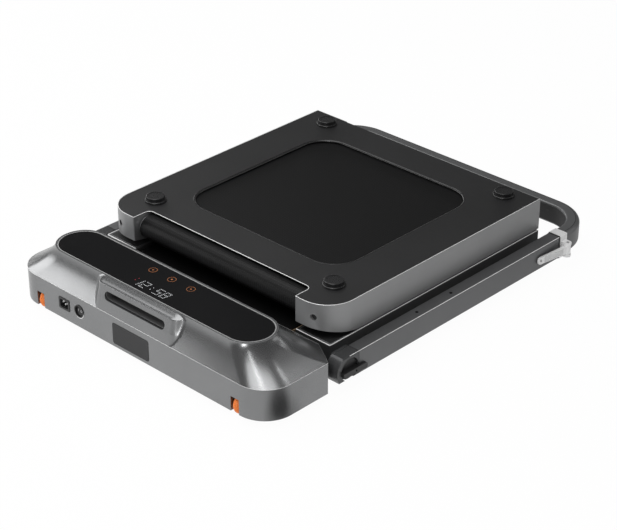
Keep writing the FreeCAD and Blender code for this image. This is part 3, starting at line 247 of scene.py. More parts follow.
class RailSizes(PropertyGroup):
    """Sizes of the small parts on the handrail."""
    edge: length("Edge", "Rounding of the handrail's edges", 0.0007)
    post_radius: length("Post corner", "Corner radius of the posts", 0.003)
    # Edge line: a bright silver line along each post's top outer edge, a painted highlight
    edge_line: length("Edge line", "Radius of the polished line along a post", 0.0008)
    nose_reach: length("Nose reach", "Distance of the line's start from the end of a nose", 0.035)
    hole_radius: length("Hole", "Radius of the small holes on top of the posts", 0.0026)
    hole_rim: length("Hole rim", "Width of a hole's rim", 0.0007)
    first_hole: length("First hole", "Place of the first hole along the pad", -0.071)
    hole_step: length("Hole step", "Distance between the holes", 0.102)
    gasket: length("Gasket", "Width of the black gasket beside the clamp", 0.0034)
    gasket_proud: length("Gasket proud", "How far the gasket stands out", 0.0005)
    cap_seam: length("Cap seam", "Width of the seam between nose and post", 0.0009)
    seam: length("Bar seam", "Width of the seam along the grab bar", 0.0013)
    seam_side: length("Seam side", "Distance of the seam from the grab bar's outer face", 0.0087)
    seam_proud: length("Seam proud", "How far seams stand out", 0.00012)
    bar_bend: length("Bar bend", "Bend radius of the grab bar at its middle line", 0.085)
    liner_hole: length("Liner hole", "Radius of the small hole in the liner", 0.0032)
    liner_hole_side: length("Liner hole side", "Distance of that hole from the middle", 0.247)
    liner_hole_up: length("Liner hole height", "Height of that hole above the bar's middle", 0.006)
    lever_root: length("Lever root", "Half thickness of a lever at its pin", 0.004)
    lever_tip: length("Lever tip", "Thickness of a lever at its tip", 0.003)
    rib_start: length("Rib start", "Distance of the first rib from the lever's tip", 0.019)
    rib_step: length("Rib step", "Distance between the ribs on a lever", 0.0034)
    rib: length("Rib", "Width of a rib on a lever", 0.0015)
    rib_height: length("Rib height", "Height of a rib", 0.0115)
    rib_proud: length("Rib proud", "How far a rib stands out", 0.0005)
    ribs: IntProperty(name="Ribs", description="Ribs on a lever", default=16, min=1)


class EntrySizes(PropertyGroup):
    """Sizes of the mains inlet, the switch and the wheels."""
    flange_radius: length("Flange corner", "Corner radius of the inlet's flange", 0.0025)
    flange_thick: length("Flange", "Thickness of the inlet's flange", 0.0015)
    flange_width: length("Flange width", "Width of the inlet's flange", 0.0043)
    mouth_radius: length("Mouth corner", "Corner radius of the inlet's mouth", 0.0035)
    mouth_depth: length("Mouth depth", "Depth of the inlet's mouth", 0.016)
    pin_width: length("Pin width", "Width of a mains pin", 0.0024)
    pin_height: length("Pin height", "Height of a mains pin", 0.0042)
    pin_length: length("Pin length", "Length of a mains pin", 0.0125)
    pin_spread: length("Pin spread", "Distance of the outer pins from the middle", 0.007)
    pin_rise: length("Pin rise", "Height of the outer pins above the middle", 0.0023)
    mark: length("Mark", "Height of the marks on the switch", 0.0050)
    mark_line: length("Mark line", "Line width of the marks", 0.0012)
    mark_side: length("Mark side", "Distance of the marks from the middle", 0.0043)
    mark_thick: length("Mark thickness", "Thickness of the marks", 0.0002)
    rocker_depth: length("Rocker depth", "Distance from the rocker's pivot to its face", 0.0035)
    rocker_lean: angle("Rocker lean", "Lean of the rocker", -0.10472)
    # Painted highlight: a bright ring set off the middle under the switch, so that only a crescent shows
    # below it
    washer: length("Washer", "Radius of the bright washer below the switch", 0.0145)
    glint_shift: length("Washer shift", "How far the washer lies off the middle", 0.0015)
    glint_thick: length("Washer thickness", "Thickness of the washer", 0.0005)
    tread_crown: length("Crown", "How much a wheel's tread is crowned", 0.0055)
    wheel_hub: length("Hub", "Radius of a wheel's hub", 0.008)
    wheel_dish: length("Dish", "Depth of the dish in a wheel's side", 0.0026)
    wheel_bore: length("Bore", "Radius of a wheel's bore", 0.00405)


class StageSizes(PropertyGroup):
    """Camera, floor and lamps."""
    lens: film("Lens", "Focal length of the camera", 109.855)
    sensor: film("Sensor", "Width of the camera's film", 36.0)
    camera: spot("Camera", "Place of the camera", (2.35685, -2.47440, 1.93598))
    target: spot("Target", "Point in the middle of the picture", (0.05445822, -0.07132602, 0.0654))
    lamp_target: spot("Lamp target", "Point that the lamps look at", (0, 0, 0.1))
    floor: length("Floor", "Half width of the floor", 14.0)
    floor_tone: share("Floor tone", "Brightness of the floor where it takes the light", 0.9)
    floor_rough: share("Floor roughness", "Roughness of the floor", 0.9)
    floor_glow: share("Floor glow", "Share of the floor's white that shadows leave alone", 0.97)
    floor_mirror: FloatVectorProperty(name="Floor mirrored", size=2, default=(0.92, 0.20), min=0,
                                      description="Brightness of the floor in reflections, near and far")
    floor_pool: reach("Floor pool", "Distances between which that brightness falls", (0.38, 2.2))
    pool_place: spot("Pool place", "Brightest point of the floor in reflections", (-0.2, -0.5, 0))
    # Card: a soft dark patch painted into the floor's brightness in reflections, painted shade beside the
    # head's corner
    card_reach: reach("Card", "Radii of the soft dark card beside the head's corner", (0.04, 0.095))
    card_place: spot("Card place", "Middle of the dark card", (0.43, -0.455, 0))
    card_dark: share("Card tone", "Brightness of the dark card against the floor round it", 0.05)
    world: FloatProperty(name="World", description="Brightness of the room", default=0.12, min=0)


# Materials: scales of the textures, and how far they move a colour or a roughness
even = (1, 1, 1)
along_pad = (1, 0.02, 1)
ramp_ends = (0.3, 0.7)
drift_scale = 9.0
drift_detail = 4.0
drift_range = (0.95, 1.05)
brush_scale = 420.0
fine_detail = 2.0
brush_spread = 0.006
grain_share = 0.6
grain_depth = 0.00015
grain_spread = 0.06
mottle_scale = 6.0
mottle_detail = 5.0
mottle_range = (0.88, 1.14)
wave_pitch = 0.314
wave_bend = 0.6
wave_detail = 2.0
weave_range = (0.3, 3.0)
fibre_depth = 0.0003
fibre_strength = 0.2
belt_roughness = 0.42
belt_gloss = 0.2
print_roughness = 0.4
wood_roughness = 0.55
wood_scale = 30.0
wood_detail = 6.0
wood_stretch = (1, 0.08, 1)
wood_range = (0.7, 1.2)
glass_roughness = 0.16
glass_spread = 0.03
glass_scale = 14.0
glass_gloss = 0.15

# Satin metals: name, colour, roughness, brushing, share of metal
satin_finishes = (
    ("head_satin", "head", 0.25, even, 0.88),
    ("rail_anodised", "rail", 0.38, along_pad, 0.6),
    # Darker copy of the rail finish for the front rails: painted shade
    ("rail_dark", "dark", 0.36, along_pad, 0.6),
    ("post_paint", "post", 0.40, along_pad, 0.7),
    # Darker copy of the paint for the noses: painted shade
    ("nose_paint", "nose", 0.26, even, 0.4),
    ("rib_shadow", "rib", 0.5, even, 0.4),
    ("bar_paint", "bar", 0.38, even, 0.6),
    # Bright lines and the glint below the switch: painted highlights; the inlet's pins use it as their own
    # metal
    ("edge_light", "silver", 0.40, even, 0.35),
    ("bead_satin", "head", 0.35, even, 0.85),
    ("trim_satin", "trim", 0.5, even, 0.6),
    ("silver_alloy", "silver", 0.40, (1, 0.05, 1), 0.35),
    ("turned_steel", "steel", 0.30, (0.05, 1, 1), 1.0),
)

# Plastics and rubbers: name, colour, roughness, strength of the grain, gloss
moulded_finishes = (
    # Dark discs for the small holes: painted shade
    ("hole_black", "hole", 0.7, 0.1, 0.1),
    ("sheet_gloss", "sheet", 0.26, 0.1, 0.5),
    ("foot_rubber_satin", "rubber", 0.28, 0.12, 0.5),
    ("pocket_plastic", "pocket", 0.45, 0.2, 0.5),
    ("plate_dark", "plate", 0.5, 0.1, 0.3),
    ("sheet_grain", "sheet", 0.46, 0.30, 0.36),
    ("rubber_matt", "rubber", 0.55, 0.40, 0.5),
    ("black_plastic", "plastic", 0.40, 0.20, 0.5),
    ("knob_plastic", "knob", 0.42, 0.25, 0.5),
    ("wheel_orange", "wheel", 0.42, 0.12, 0.5),
)

# Prints and lit dots: name, colour, glow; the glow on the two prints is painted light
printed_finishes = (
    ("mark_print", "mark", 0.05),
    ("key_print", "ring", 0.15),
    ("digit_light", "digit", 0.3),
    ("lamp_light", "lamp", 0.35),
)


def tree_of(owner):
    """Nodes and links of a material or a world."""
    return owner.node_tree.nodes, owner.node_tree.links


def combined(owner, operation, first, second):
    """Output of a math node; each value is another node's output or a plain number."""
    nodes, links = tree_of(owner)
    node = nodes.new("ShaderNodeMath")
    node.operation = operation
    for socket, value in zip(node.inputs, (first, second)):
        if isinstance(value, bpy.types.NodeSocket):
            links.new(value, socket)
        else:
            socket.default_value = value
    return node.outputs["Value"]


def plain_material(name, base, roughness, metallic=0.0, specular=0.5):
    """Material with its constants set on the shader itself."""
    material = bpy.data.materials.new(finish_prefix + name)
    material.use_nodes = True
    shader = material.node_tree.nodes["Principled BSDF"]
    shader.inputs["Base Color"].default_value = (*base, 1)
    shader.inputs["Roughness"].default_value = roughness
    shader.inputs["Metallic"].default_value = metallic
    shader.inputs["Specular IOR Level"].default_value = specular
    return material


def noise_texture(material, scale, detail=3.0, stretch=even):
    """Noise in the piece's own coordinates; stretch above one makes it finer along that axis."""
    nodes, links = tree_of(material)
    place = nodes.new("ShaderNodeTexCoord")
    mapping = nodes.new("ShaderNodeMapping")
    mapping.inputs["Scale"].default_value = stretch
    noise = nodes.new("ShaderNodeTexNoise")
    noise.inputs["Scale"].default_value = scale
    noise.inputs["Detail"].default_value = detail
    links.new(place.outputs["Object"], mapping.inputs["Vector"])
    links.new(mapping.outputs["Vector"], noise.inputs["Vector"])
    return noise.outputs["Fac"]


def vary_colour(material, base, factor, tones):
    """Let the base colour drift between two brightnesses with a texture."""
    nodes, links = tree_of(material)
    ramp = nodes.new("ShaderNodeValToRGB")
    for element, position, tone in zip(ramp.color_ramp.elements, ramp_ends, tones):
        element.position = position
        element.color = (*[tone * c for c in base], 1)
    links.new(factor, ramp.inputs["Fac"])
    links.new(ramp.outputs["Color"], nodes["Principled BSDF"].inputs["Base Color"])


def vary_roughness(material, factor, roughness, spread):
    """Let the roughness drift by a spread to both sides with a texture."""
    nodes, links = tree_of(material)
    drift = nodes.new("ShaderNodeMapRange")
    drift.inputs["To Min"].default_value = roughness - spread
    drift.inputs["To Max"].default_value = roughness + spread
    links.new(factor, drift.inputs["Value"])
    links.new(drift.outputs["Result"], nodes["Principled BSDF"].inputs["Roughness"])


def raise_grain(material, height, depth, strength):
    """Bump from a texture."""
    nodes, links = tree_of(material)
    bump = nodes.new("ShaderNodeBump")
    bump.inputs["Strength"].default_value = strength
    bump.inputs["Distance"].default_value = depth
    links.new(height, bump.inputs["Height"])
    links.new(bump.outputs["Normal"], nodes["Principled BSDF"].inputs["Normal"])


def satin_metal(name, base, roughness, stretch, metallic):
    """Satin metal with a soft drift of tone and fine brushing along the least stretched axis."""
    material = plain_material(name, base, roughness, metallic)
    vary_colour(material, base, noise_texture(material, drift_scale, drift_detail), drift_range)
    brushing = noise_texture(material, brush_scale, fine_detail, stretch)
    vary_roughness(material, brushing, roughness, brush_spread)


def grained_plastic(name, base, roughness, grain, strength, specular):
    """Moulded plastic or rubber with a fine grain."""
    material = plain_material(name, base, roughness, 0.0, specular)
    grains = noise_texture(material, grain_share / grain, fine_detail)
    vary_colour(material, base, noise_texture(material, mottle_scale, mottle_detail), mottle_range)
    vary_roughness(material, grains, roughness, grain_spread)
    raise_grain(material, grains, grain_depth, strength)


def woven_belt(name, base, pitch):
    """Belt with the fine crossed ribs of its woven face."""
    material = plain_material(name, base, belt_roughness, 0.0, belt_gloss)
    nodes, links = tree_of(material)
    place = nodes.new("ShaderNodeTexCoord")
    heights = []
    for direction in ("X", "Y"):
        wave = nodes.new("ShaderNodeTexWave")
        wave.bands_direction = direction
        wave.inputs["Scale"].default_value = wave_pitch / pitch
        wave.inputs["Distortion"].default_value = wave_bend
        wave.inputs["Detail Scale"].default_value = wave_detail
        links.new(place.outputs["Object"], wave.inputs["Vector"])
        heights.append(wave.outputs["Fac"])
    weave = combined(material, "MULTIPLY", *heights)
    vary_colour(material, base, weave, weave_range)
    raise_grain(material, weave, fibre_depth, fibre_strength)


def lit_print(name, base, glow):
    """Printed or lit graphic under the glass; on a printed graphic the glow is painted light."""
    material = plain_material(name, base, print_roughness)
    shader = material.node_tree.nodes["Principled BSDF"]
    shader.inputs["Emission Color"].default_value = (*base, 1)
    shader.inputs["Emission Strength"].default_value = glow


def board_wood(name, base):
    """Plain board with a long grain."""
    material = plain_material(name, base, wood_roughness)
    grain = noise_texture(material, wood_scale, wood_detail, wood_stretch)
    vary_colour(material, base, grain, wood_range)
    raise_grain(material, grain, fibre_depth, fibre_strength)


def finish_named(name):
    """Finish by its name; all are made at the first call."""
    if finish_prefix + name not in bpy.data.materials:
        make_finishes()
    return bpy.data.materials[finish_prefix + name]


def make_finishes():
    """All finishes of the pad."""
    tint = bpy.context.scene.pad_colours
    deck = bpy.context.scene.pad_deck
    for name, key, roughness, stretch, metallic in satin_finishes:
        satin_metal(name, getattr(tint, key), roughness, stretch, metallic)
    for name, key, roughness, strength, gloss in moulded_finishes:
        grained_plastic(name, getattr(tint, key), roughness, deck.grain, strength, gloss)
    for name, key, glow in printed_finishes:
        lit_print(name, getattr(tint, key), glow)
    woven_belt("belt_weave", tint.belt, deck.weave)
    board_wood("board_wood", tint.wood)
    glass = plain_material("panel_glass", tint.glass, glass_roughness, 0.0, glass_gloss)
    vary_roughness(glass, noise_texture(glass, glass_scale), glass_roughness, glass_spread)


# Mesh tools

def finish_piece(piece, finish, body):
    """Give a piece its finish and body."""
    piece.data.materials.clear()
    piece.data.materials.append(finish_named(finish))
    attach(piece, body)
    return piece


def piece_from(name, bm, finish, body, smooth=True):
    """Piece from a finished bmesh."""
    mesh = bpy.data.meshes.new(name)
    bmesh.ops.recalc_face_normals(bm, faces=bm.faces)
    bm.to_mesh(mesh)
    bm.free()
    for polygon in mesh.polygons:
        polygon.use_smooth = smooth
    if smooth:
        mesh.set_sharp_from_angle(angle=sharp_turn)
    piece = bpy.data.objects.new(name, mesh)
    bpy.context.scene.collection.objects.link(piece)
    return finish_piece(piece, finish, body)


def node_body(node):
    """Body that a frame node belongs to."""
    for body, members in frame["record"]["behaviour"]["bodies"].items():
        if node in members:
            return body
    raise RuntimeError("no such node: " + node)


def softened(node, finish, width, segments=2):
    """Copy of a frame node with its edges rounded, standing for the node."""
    mesh = frame["nodes"][node].data.copy()
    mesh.name = node + "_soft"
    if "custom_normal" in mesh.attributes:
        mesh.attributes.remove(mesh.attributes["custom_normal"])
    bm = bmesh.new()
    bm.from_mesh(mesh)
    bmesh.ops.remove_doubles(bm, verts=bm.verts, dist=weld_gap)
    bmesh.ops.dissolve_limit(bm, angle_limit=flat_turn, verts=bm.verts, edges=bm.edges)
    bm.to_mesh(mesh)
    bm.free()
    for polygon in mesh.polygons:
        polygon.use_smooth = True
    mesh.set_sharp_from_angle(angle=sharp_turn)
    piece = bpy.data.objects.new(node + "_soft", mesh)
    bpy.context.scene.collection.objects.link(piece)
    bevel = piece.modifiers.new("Soft edges", "BEVEL")
    bevel.width = width
    bevel.segments = segments
    bevel.limit_method = "ANGLE"
    bevel.angle_limit = sharp_turn
    bevel.harden_normals = True
    finish_piece(piece, finish, node_body(node))
    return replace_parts(piece, node)


def painted(node, finish):
    """Frame node kept as it is, with its finish."""
    shown = frame["nodes"][node]
    shown.data.materials.clear()
    shown.data.materials.append(finish_named(finish))
    return shown


def turned(bm, profile, centre, axis, steps=48):
    """Add a body of revolution: profile points are (radius, distance along the axis)."""
    across = Vector((0, 0, 1)) if abs(axis.z) < 0.5 else Vector((1, 0, 0))
    u = axis.cross(across).normalized()
    w = axis.cross(u)
    rings = []
    for radius, along in profile:
        if radius == 0:
            rings.append([bm.verts.new(centre + axis * along)])
            continue
        ring = []
        for step in range(steps):
            turn = 2 * math.pi * step / steps
            way = u * math.cos(turn) + w * math.sin(turn)
            ring.append(bm.verts.new(centre + axis * along + way * radius))
        rings.append(ring)
    for first, second in zip(rings, rings[1:]):
        for step in range(steps):
            after = (step + 1) % steps
            corners = [first[step % len(first)], first[after % len(first)],
                       second[after % len(second)], second[step % len(second)]]
            bm.faces.new(list(dict.fromkeys(corners)))


def rounded_outline(width, height, radius, steps=8):
    """Points (a, b) of a rectangle round the origin with rounded corners."""
    points = []
    for quarter, (side, level) in enumerate(((1, -1), (1, 1), (-1, 1), (-1, -1))):
        for step in range(steps + 1):
            turn = math.pi / 2 * (quarter - 1 + step / steps)
            points.append((side * (width / 2 - radius) + radius * math.cos(turn),
                           level * (height / 2 - radius) + radius * math.sin(turn)))
    return points


def slab(bm, points, place, thickness):
    """Add a prism: place maps (a, b, rise) to a point."""
    capped(bm, [[place(a, b, rise) for a, b in points] for rise in (0, thickness)])


def band(bm, loops, closed=True):
    """Add a skin over loops of points that all have the same count."""
    rings = [[bm.verts.new(point) for point in loop] for loop in loops]
    count = len(rings[0])
    last = count if closed else count - 1
    for first, second in zip(rings, rings[1:]):
        for i in range(last):
            j = (i + 1) % count
            bm.faces.new((first[i], first[j], second[j], second[i]))
    return rings


def capped(bm, loops):
    """Add a skin over loops of points, with both its ends closed."""
    rings = band(bm, loops)
    bm.faces.new(rings[0])
    bm.faces.new(rings[-1])


def rounded_path(corners, closed=False, steps=10):
    """Points along straight runs whose corners (x, y, radius) are rounded."""
    points = []
    count = len(corners)
    for number, (x, y, radius) in enumerate(corners):
        corner = Vector((x, y, 0))
        if radius == 0 or not (closed or 0 < number < count - 1):
            points.append(corner)
            continue
        back = (Vector((*corners[number - 1][:2], 0)) - corner).normalized()
        ahead = (Vector((*corners[(number + 1) % count][:2], 0)) - corner).normalized()
        half = back.angle(ahead) / 2
        centre = corner + (back + ahead).normalized() * (radius / math.sin(half))
        arm = corner + back * (radius / math.tan(half)) - centre
        for step in range(steps + 1):
            turn = (math.pi - 2 * half) * step / steps
            points.append(centre + arm * math.cos(turn) - back * (radius * math.sin(turn)))
    return points


def half_round(width, rise, sink, steps=8):
    """Profile (out, up) of a half-round bead that reaches a little into the piece below it."""
    arc = []
    for step in range(steps + 1):
        turn = math.pi * step / steps
        arc.append((-width / 2 * math.cos(turn), rise * math.sin(turn)))
    return [(-width / 2, -sink), *arc, (width / 2, -sink)]


def round_profile(radius, steps=10):
    """Profile (out, up) of a round wire."""
    turns = [2 * math.pi * step / steps for step in range(steps)]
    return [(radius * math.cos(turn), radius * math.sin(turn)) for turn in turns]


def swept(bm, path, profile, z, closed=False, face=1):
    """Add a bead at height z: profile points (out, up) along a path, out to the right of travel."""
    count = len(path)
    outs = []
    for number, point in enumerate(path):
        before = path[number - 1] if closed or number else point
        after = path[(number + 1) % count] if closed or number < count - 1 else point
        way = (after - before).normalized()
        outs.append(Vector((way.y, -way.x, 0)))
    part = bmesh.new()
    loops = []
    for out, up in [*profile, profile[0]]:
        loops.append([point + side * out + Vector((0, 0, z + face * up)) for point, side in zip(path, outs)])
    band(part, loops, closed)
    bmesh.ops.remove_doubles(part, verts=part.verts, dist=weld_gap)
    bmesh.ops.holes_fill(part, edges=[edge for edge in part.edges if edge.is_boundary])
    mesh = bpy.data.meshes.new("bead")
    part.to_mesh(mesh)
    part.free()
    bm.from_mesh(mesh)
    bpy.data.meshes.remove(mesh)


def both_sides(points):
    """A path and its mirror image across the pad."""
    return [points, [Vector((-point.x, point.y, point.z)) for point in reversed(points)]]


def trim_piece(name, bm, finish, node):
    """Piece that belongs to a frame node: it has the node's body."""
    return piece_from(name, bm, finish, node_body(node))


# Control panel

def panel_place(a, b, rise):
    """Point on the control glass: a across, b from its front edge."""
    return Vector((a, glass_low.y + b, glass_high.z + rise))


# Signs of the keys: corners, radius as a share of the sign's size, first corner's direction
key_signs = ((3, 0.6, math.pi), (12, 0.5, 0), (3, 0.6, 0))


def key_sign(bm, x, y, size, lift, number):
    """Small sign inside a key: a triangle that points left, a dot, or a triangle that points right."""
    count, size_share, start = key_signs[number]
    turns = [start + 2 * math.pi * k / count for k in range(count)]
    radius = size * size_share
    points = [(x + radius * math.cos(turn), y + radius * math.sin(turn)) for turn in turns]
    slab(bm, points, panel_place, lift)


def touch_keys():
    """Printed rings of the three touch keys and the signs inside them."""
    sizes = bpy.context.scene.pad_panel
    bm = bmesh.new()
    for number in range(3):
        centre = panel_place((number - 1) * sizes.key_spacing, sizes.key_back, 0)
        inner = sizes.key_radius - sizes.key_line
        turned(bm, [(inner, 0), (inner, sizes.graphic_lift), (sizes.key_radius, sizes.graphic_lift),
                    (sizes.key_radius, 0)], centre, Vector((0, 0, 1)))
        key_sign(bm, centre.x, sizes.key_back, sizes.glyph_size, sizes.graphic_lift, number)
    # Printed rings with a glow that is painted light
    piece_from("key_rings", bm, "key_print", "base")


# Bars of each digit, their ends as shares of the digit, and the places of the other dots
shown_time = "12:58"
colon_shares = {(0.5, 0.3), (0.5, 0.7)}
lamp_side_share = 0.55
lamp_height_shares = (0.55, 0.95)
segments_of = {"1": "bc", "2": "abged", "5": "afgcd", "8": "abcdefg"}
segment_ends = {
    "a": ((0, 1), (1, 1)), "b": ((1, 0.5), (1, 1)), "c": ((1, 0), (1, 0.5)), "d": ((0, 0), (1, 0)),
    "e": ((0, 0), (0, 0.5)), "f": ((0, 0.5), (0, 1)), "g": ((0, 0.5), (1, 0.5)),
}


def digit_dot(bm, left, height_share):
    """One lit dot of the display, at a share of the digits' height; the digits lean."""
    sizes = bpy.context.scene.pad_panel
    size = sizes.dot_size
    height = height_share * sizes.digit_height
    x = left + height * sizes.digit_lean
    y = sizes.digit_front + height
    outline = rounded_outline(size, size, size / 3, 3)
    slab(bm, [(x + a, y + b) for a, b in outline], panel_place, sizes.graphic_lift)


def display_digits():
    """Dotted digits of the display with the dots between them, and the small lamps beside them."""
    sizes = bpy.context.scene.pad_panel
    bm = bmesh.new()
    start = sizes.digit_side - sizes.digit_step * (len(shown_time) - 1) / 2
    for number, sign in enumerate(shown_time):
        left = start + number * sizes.digit_step - sizes.digit_width / 2
        spots = set(colon_shares) if sign == ":" else set()
        for name in segments_of.get(sign, ""):
            (a0, b0), (a1, b1) = segment_ends[name]
            for step in range(sizes.dots_per_bar):
                t = step / (sizes.dots_per_bar - 1)
                spots.add((round(a0 + (a1 - a0) * t, 4), round(b0 + (b1 - b0) * t, 4)))
        for a, b in sorted(spots):
            digit_dot(bm, left + a * sizes.digit_width, b)
    piece_from("display_digits", bm, "digit_light", "base")
    bm = bmesh.new()
    for height_share in lamp_height_shares:
        digit_dot(bm, start - sizes.digit_step * lamp_side_share, height_share)
    piece_from("display_lamps", bm, "lamp_light", "base")


class PAD_OT_control_panel(Operator):
    """Glass, trim, touch keys and display of the control panel"""
    bl_idname = "pad.control_panel"
    bl_label = "Control panel"

    def execute(self, context):
        softened("control_glass", "panel_glass", context.scene.pad_head.edge / 2)
        painted("panel_trim", "trim_satin")
        painted("display_board", "black_plastic")
        touch_keys()
        display_digits()
        return {"FINISHED"}


# Motor head

def between(low, high, part):
    """Value at a part of the way from low to high."""
    return low + (high - low) * part


def lowest(a, b, width):
    """The lower of two values, with a rounded change from one to the other."""
    if width <= 0:
        return min(a, b)
    near = max(width - abs(a - b), 0) / width
    return min(a, b) - near * near * width / 4


def corner_points(corner, start, end, bulge, steps):
    """Points across a corner without its start: bulge 0 is straight, 1 a quarter round."""
    points = []
    for step in range(1, steps + 1):
        turn = math.pi / 2 * step / steps
        arc = corner + (start - corner) * (1 - math.sin(turn)) + (end - corner) * (1 - math.cos(turn))
        points.append(start.lerp(end, step / steps).lerp(arc, bulge))
    return points


class HeadForm:
    """The head's outline at any height, from its sizes and the frame's places."""

    def __init__(self):
        self.sizes = bpy.context.scene.pad_head
        self.half = pan_high.x
        self.depth = pan_high.y - pan_low.y
        self.low = split_z
        self.high = cover_high.z
        self.rim_radius = trim_radius + self.sizes.rim
        self.rim_middle = trim_middle - head_front
        self.rim_half = trim_high.x + self.sizes.rim
        self.rim_front = self.rim_middle - self.rim_radius

    def drawn_in(self, z):
        """Share of the way from the parting line's outline to the rim's."""
        return 1 - (1 - (z - self.low) / (self.high - self.low)) ** self.sizes.flare

    def boss_front(self, x, z):
        """Distance of the boss's face behind the head's front."""
        sizes = self.sizes
        leaning = sizes.boss_lean * (z - self.low) / sizes.boss_rise
        over_edge = z - self.low - sizes.boss_rise
        top = sizes.boss_lean + over_edge * (self.rim_front - sizes.boss_lean) / sizes.boss_top
        face = -lowest(-leaning, -top, sizes.boss_edge)
        past = max(abs(x) - sizes.boss_half, 0)
        reach = sizes.boss_corner * math.sin(sizes.boss_turn)
        if past <= reach:
            return face + sizes.boss_corner - math.sqrt(sizes.boss_corner ** 2 - past ** 2)
        turned_back = sizes.boss_corner * (1 - math.cos(sizes.boss_turn))
        return face + turned_back + (past - reach) * math.tan(sizes.boss_turn)

    def front(self, x, z):
        """Distance of the cover's front behind the head's front: the flare and the boss in one skin."""
        flare = self.rim_front * self.drawn_in(z)
        return max(lowest(flare, self.boss_front(x, z), min(self.sizes.boss_valley, flare)), 0)

    def outline(self, z, columns, steps=28):
        """Closed loop of points at one height: the front from left to right, then round the back."""
        sizes = self.sizes
        part = self.drawn_in(z)
        rim_cut = self.rim_radius - sizes.rim_flat
        half = between(self.half, self.rim_half, part)
        front = self.rim_front * part
        rear = between(self.depth, self.rim_middle + self.rim_radius, part)
        front_cut = between(sizes.front_radius, rim_cut, part)
        rear_x = between(sizes.rear_cut, rim_cut, part)
        rear_y = between(self.depth - sizes.side_depth, rim_cut, part)
        bulge = between(sizes.rear_bulge, 1, part)
        straight = half - front_cut
        last = columns[-1]
        flat = []
        for step in range(1, steps + 1):
            x = between(last, straight, step / steps)
            flat.append(Vector((x, front, z)))
        front_end = Vector((half, front + front_cut, z))
        right = flat + corner_points(Vector((half, front, z)), flat[-1], front_end, 1, steps)
        rear_start = Vector((half, rear - rear_y, z))
        rear_end = Vector((half - rear_x, rear, z))
        right += [right[-1].lerp(rear_start, step / steps) for step in range(1, steps + 1)]
        right += corner_points(Vector((half, rear, z)), rear_start, rear_end, bulge, steps)
        left = [Vector((-point.x, point.y, z)) for point in reversed(right)]
        back = [right[-1].lerp(left[0], step / steps) for step in range(1, steps)]
        middle = [Vector((x, self.front(x, z), z)) for x in columns]
        return [point + Vector((0, head_front, 0)) for point in middle + right + back + left]


def spread(stops):
    """Values from stop to stop; each stop is (value, count of steps that lead to it)."""
    values = [stops[0][0]]
    for value, count in stops[1:]:
        start = values[-1]
        values += [between(start, value, step / count) for step in range(1, count + 1)]
    return values


def slot_distance(x, z):
    """Signed distance of a point from the edge of the carry slot, and the way out of it."""
    radius = (pocket_high.z - pocket_low.z) / 2
    straight = pocket_high.x - radius
    away = Vector((math.copysign(max(abs(x) - straight, 0), x), z - (pocket_high.z + pocket_low.z) / 2))
    return away.length - radius, away.normalized()


# Rows of faces over the slot, and shares that place the columns and draw points onto the slot's edge
slot_rows = 12
slot_straight_share = 0.86
boss_end_share = 2.5
snap_share = 0.75


def cover_skin():
    """Cover of the motor head: flared skirt, carry boss with its slot, and the rim round the panel."""
    sizes = bpy.context.scene.pad_head
    form = HeadForm()
    boss_end = sizes.boss_half + sizes.boss_corner * boss_end_share
    right = spread([(0, 0), (pocket_high.x * slot_straight_share, 26), (pocket_high.x, 8),
                    (sizes.boss_half, 7), (boss_end, 26), (boss_end + sizes.front_radius, 14)])
    columns = [-x for x in reversed(right[1:])] + right
    edge_z = form.low + sizes.boss_rise
    levels = spread([(form.low, 0), (pocket_low.z, 14), (pocket_high.z, slot_rows),
                     (edge_z - sizes.boss_edge, 6), (edge_z + sizes.boss_top, 24), (form.high, 5)])
    bm = bmesh.new()
    rings = band(bm, [form.outline(z, columns) for z in levels])
    cell = (pocket_high.z - pocket_low.z) / slot_rows
    for ring in rings:
        for vert in ring[:len(columns)]:
            distance, way = slot_distance(vert.co.x, vert.co.z)
            if abs(distance) < cell * snap_share:
                vert.co.x -= way.x * distance
                vert.co.z -= way.y * distance
                vert.co.y = head_front + form.front(vert.co.x, vert.co.z)
    inside = []
    for face in bm.faces:
        centre = face.calc_center_median()
        if centre.y < head_front + form.rim_front and slot_distance(centre.x, centre.z)[0] < -weld_gap:
            inside.append(face)
    bmesh.ops.delete(bm, geom=inside, context="FACES")
    rim_edges = [edge for edge in bm.edges if edge.is_boundary
                 and all(form.low + weld_gap < vert.co.z < form.high - weld_gap for vert in edge.verts)]
    grown = bmesh.ops.extrude_edge_only(bm, edges=rim_edges)["geom"]
    for vert in grown:
        if isinstance(vert, bmesh.types.BMVert):
            vert.co.y += sizes.slot_wall
    inner = trim_high.x - trim_radius
    top = [vert.co.copy() for vert in rings[-1]]
    lips = []
    for drop in (0, trim_high.z - trim_low.z):
        lip = []
        for point in top:
            axis_x = max(-inner, min(inner, point.x))
            way = Vector((point.x - axis_x, point.y - trim_middle)).normalized() * trim_radius
            lip.append(Vector((axis_x + way.x, trim_middle + way.y, form.high - drop)))
        lips.append(lip)
    band(bm, [top, *lips])
    base = [vert.co.copy() for vert in rings[0]]
    centre = Vector((0, head_front + form.depth / 2, form.low))
    band(bm, [base, [point + (centre - point).normalized() * sizes.slot_wall for point in base]])
    bmesh.ops.remove_doubles(bm, verts=bm.verts, dist=weld_gap)
    piece = piece_from("head_cover_skin", bm, "head_satin", "base")
    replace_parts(piece, "head_top_cover")


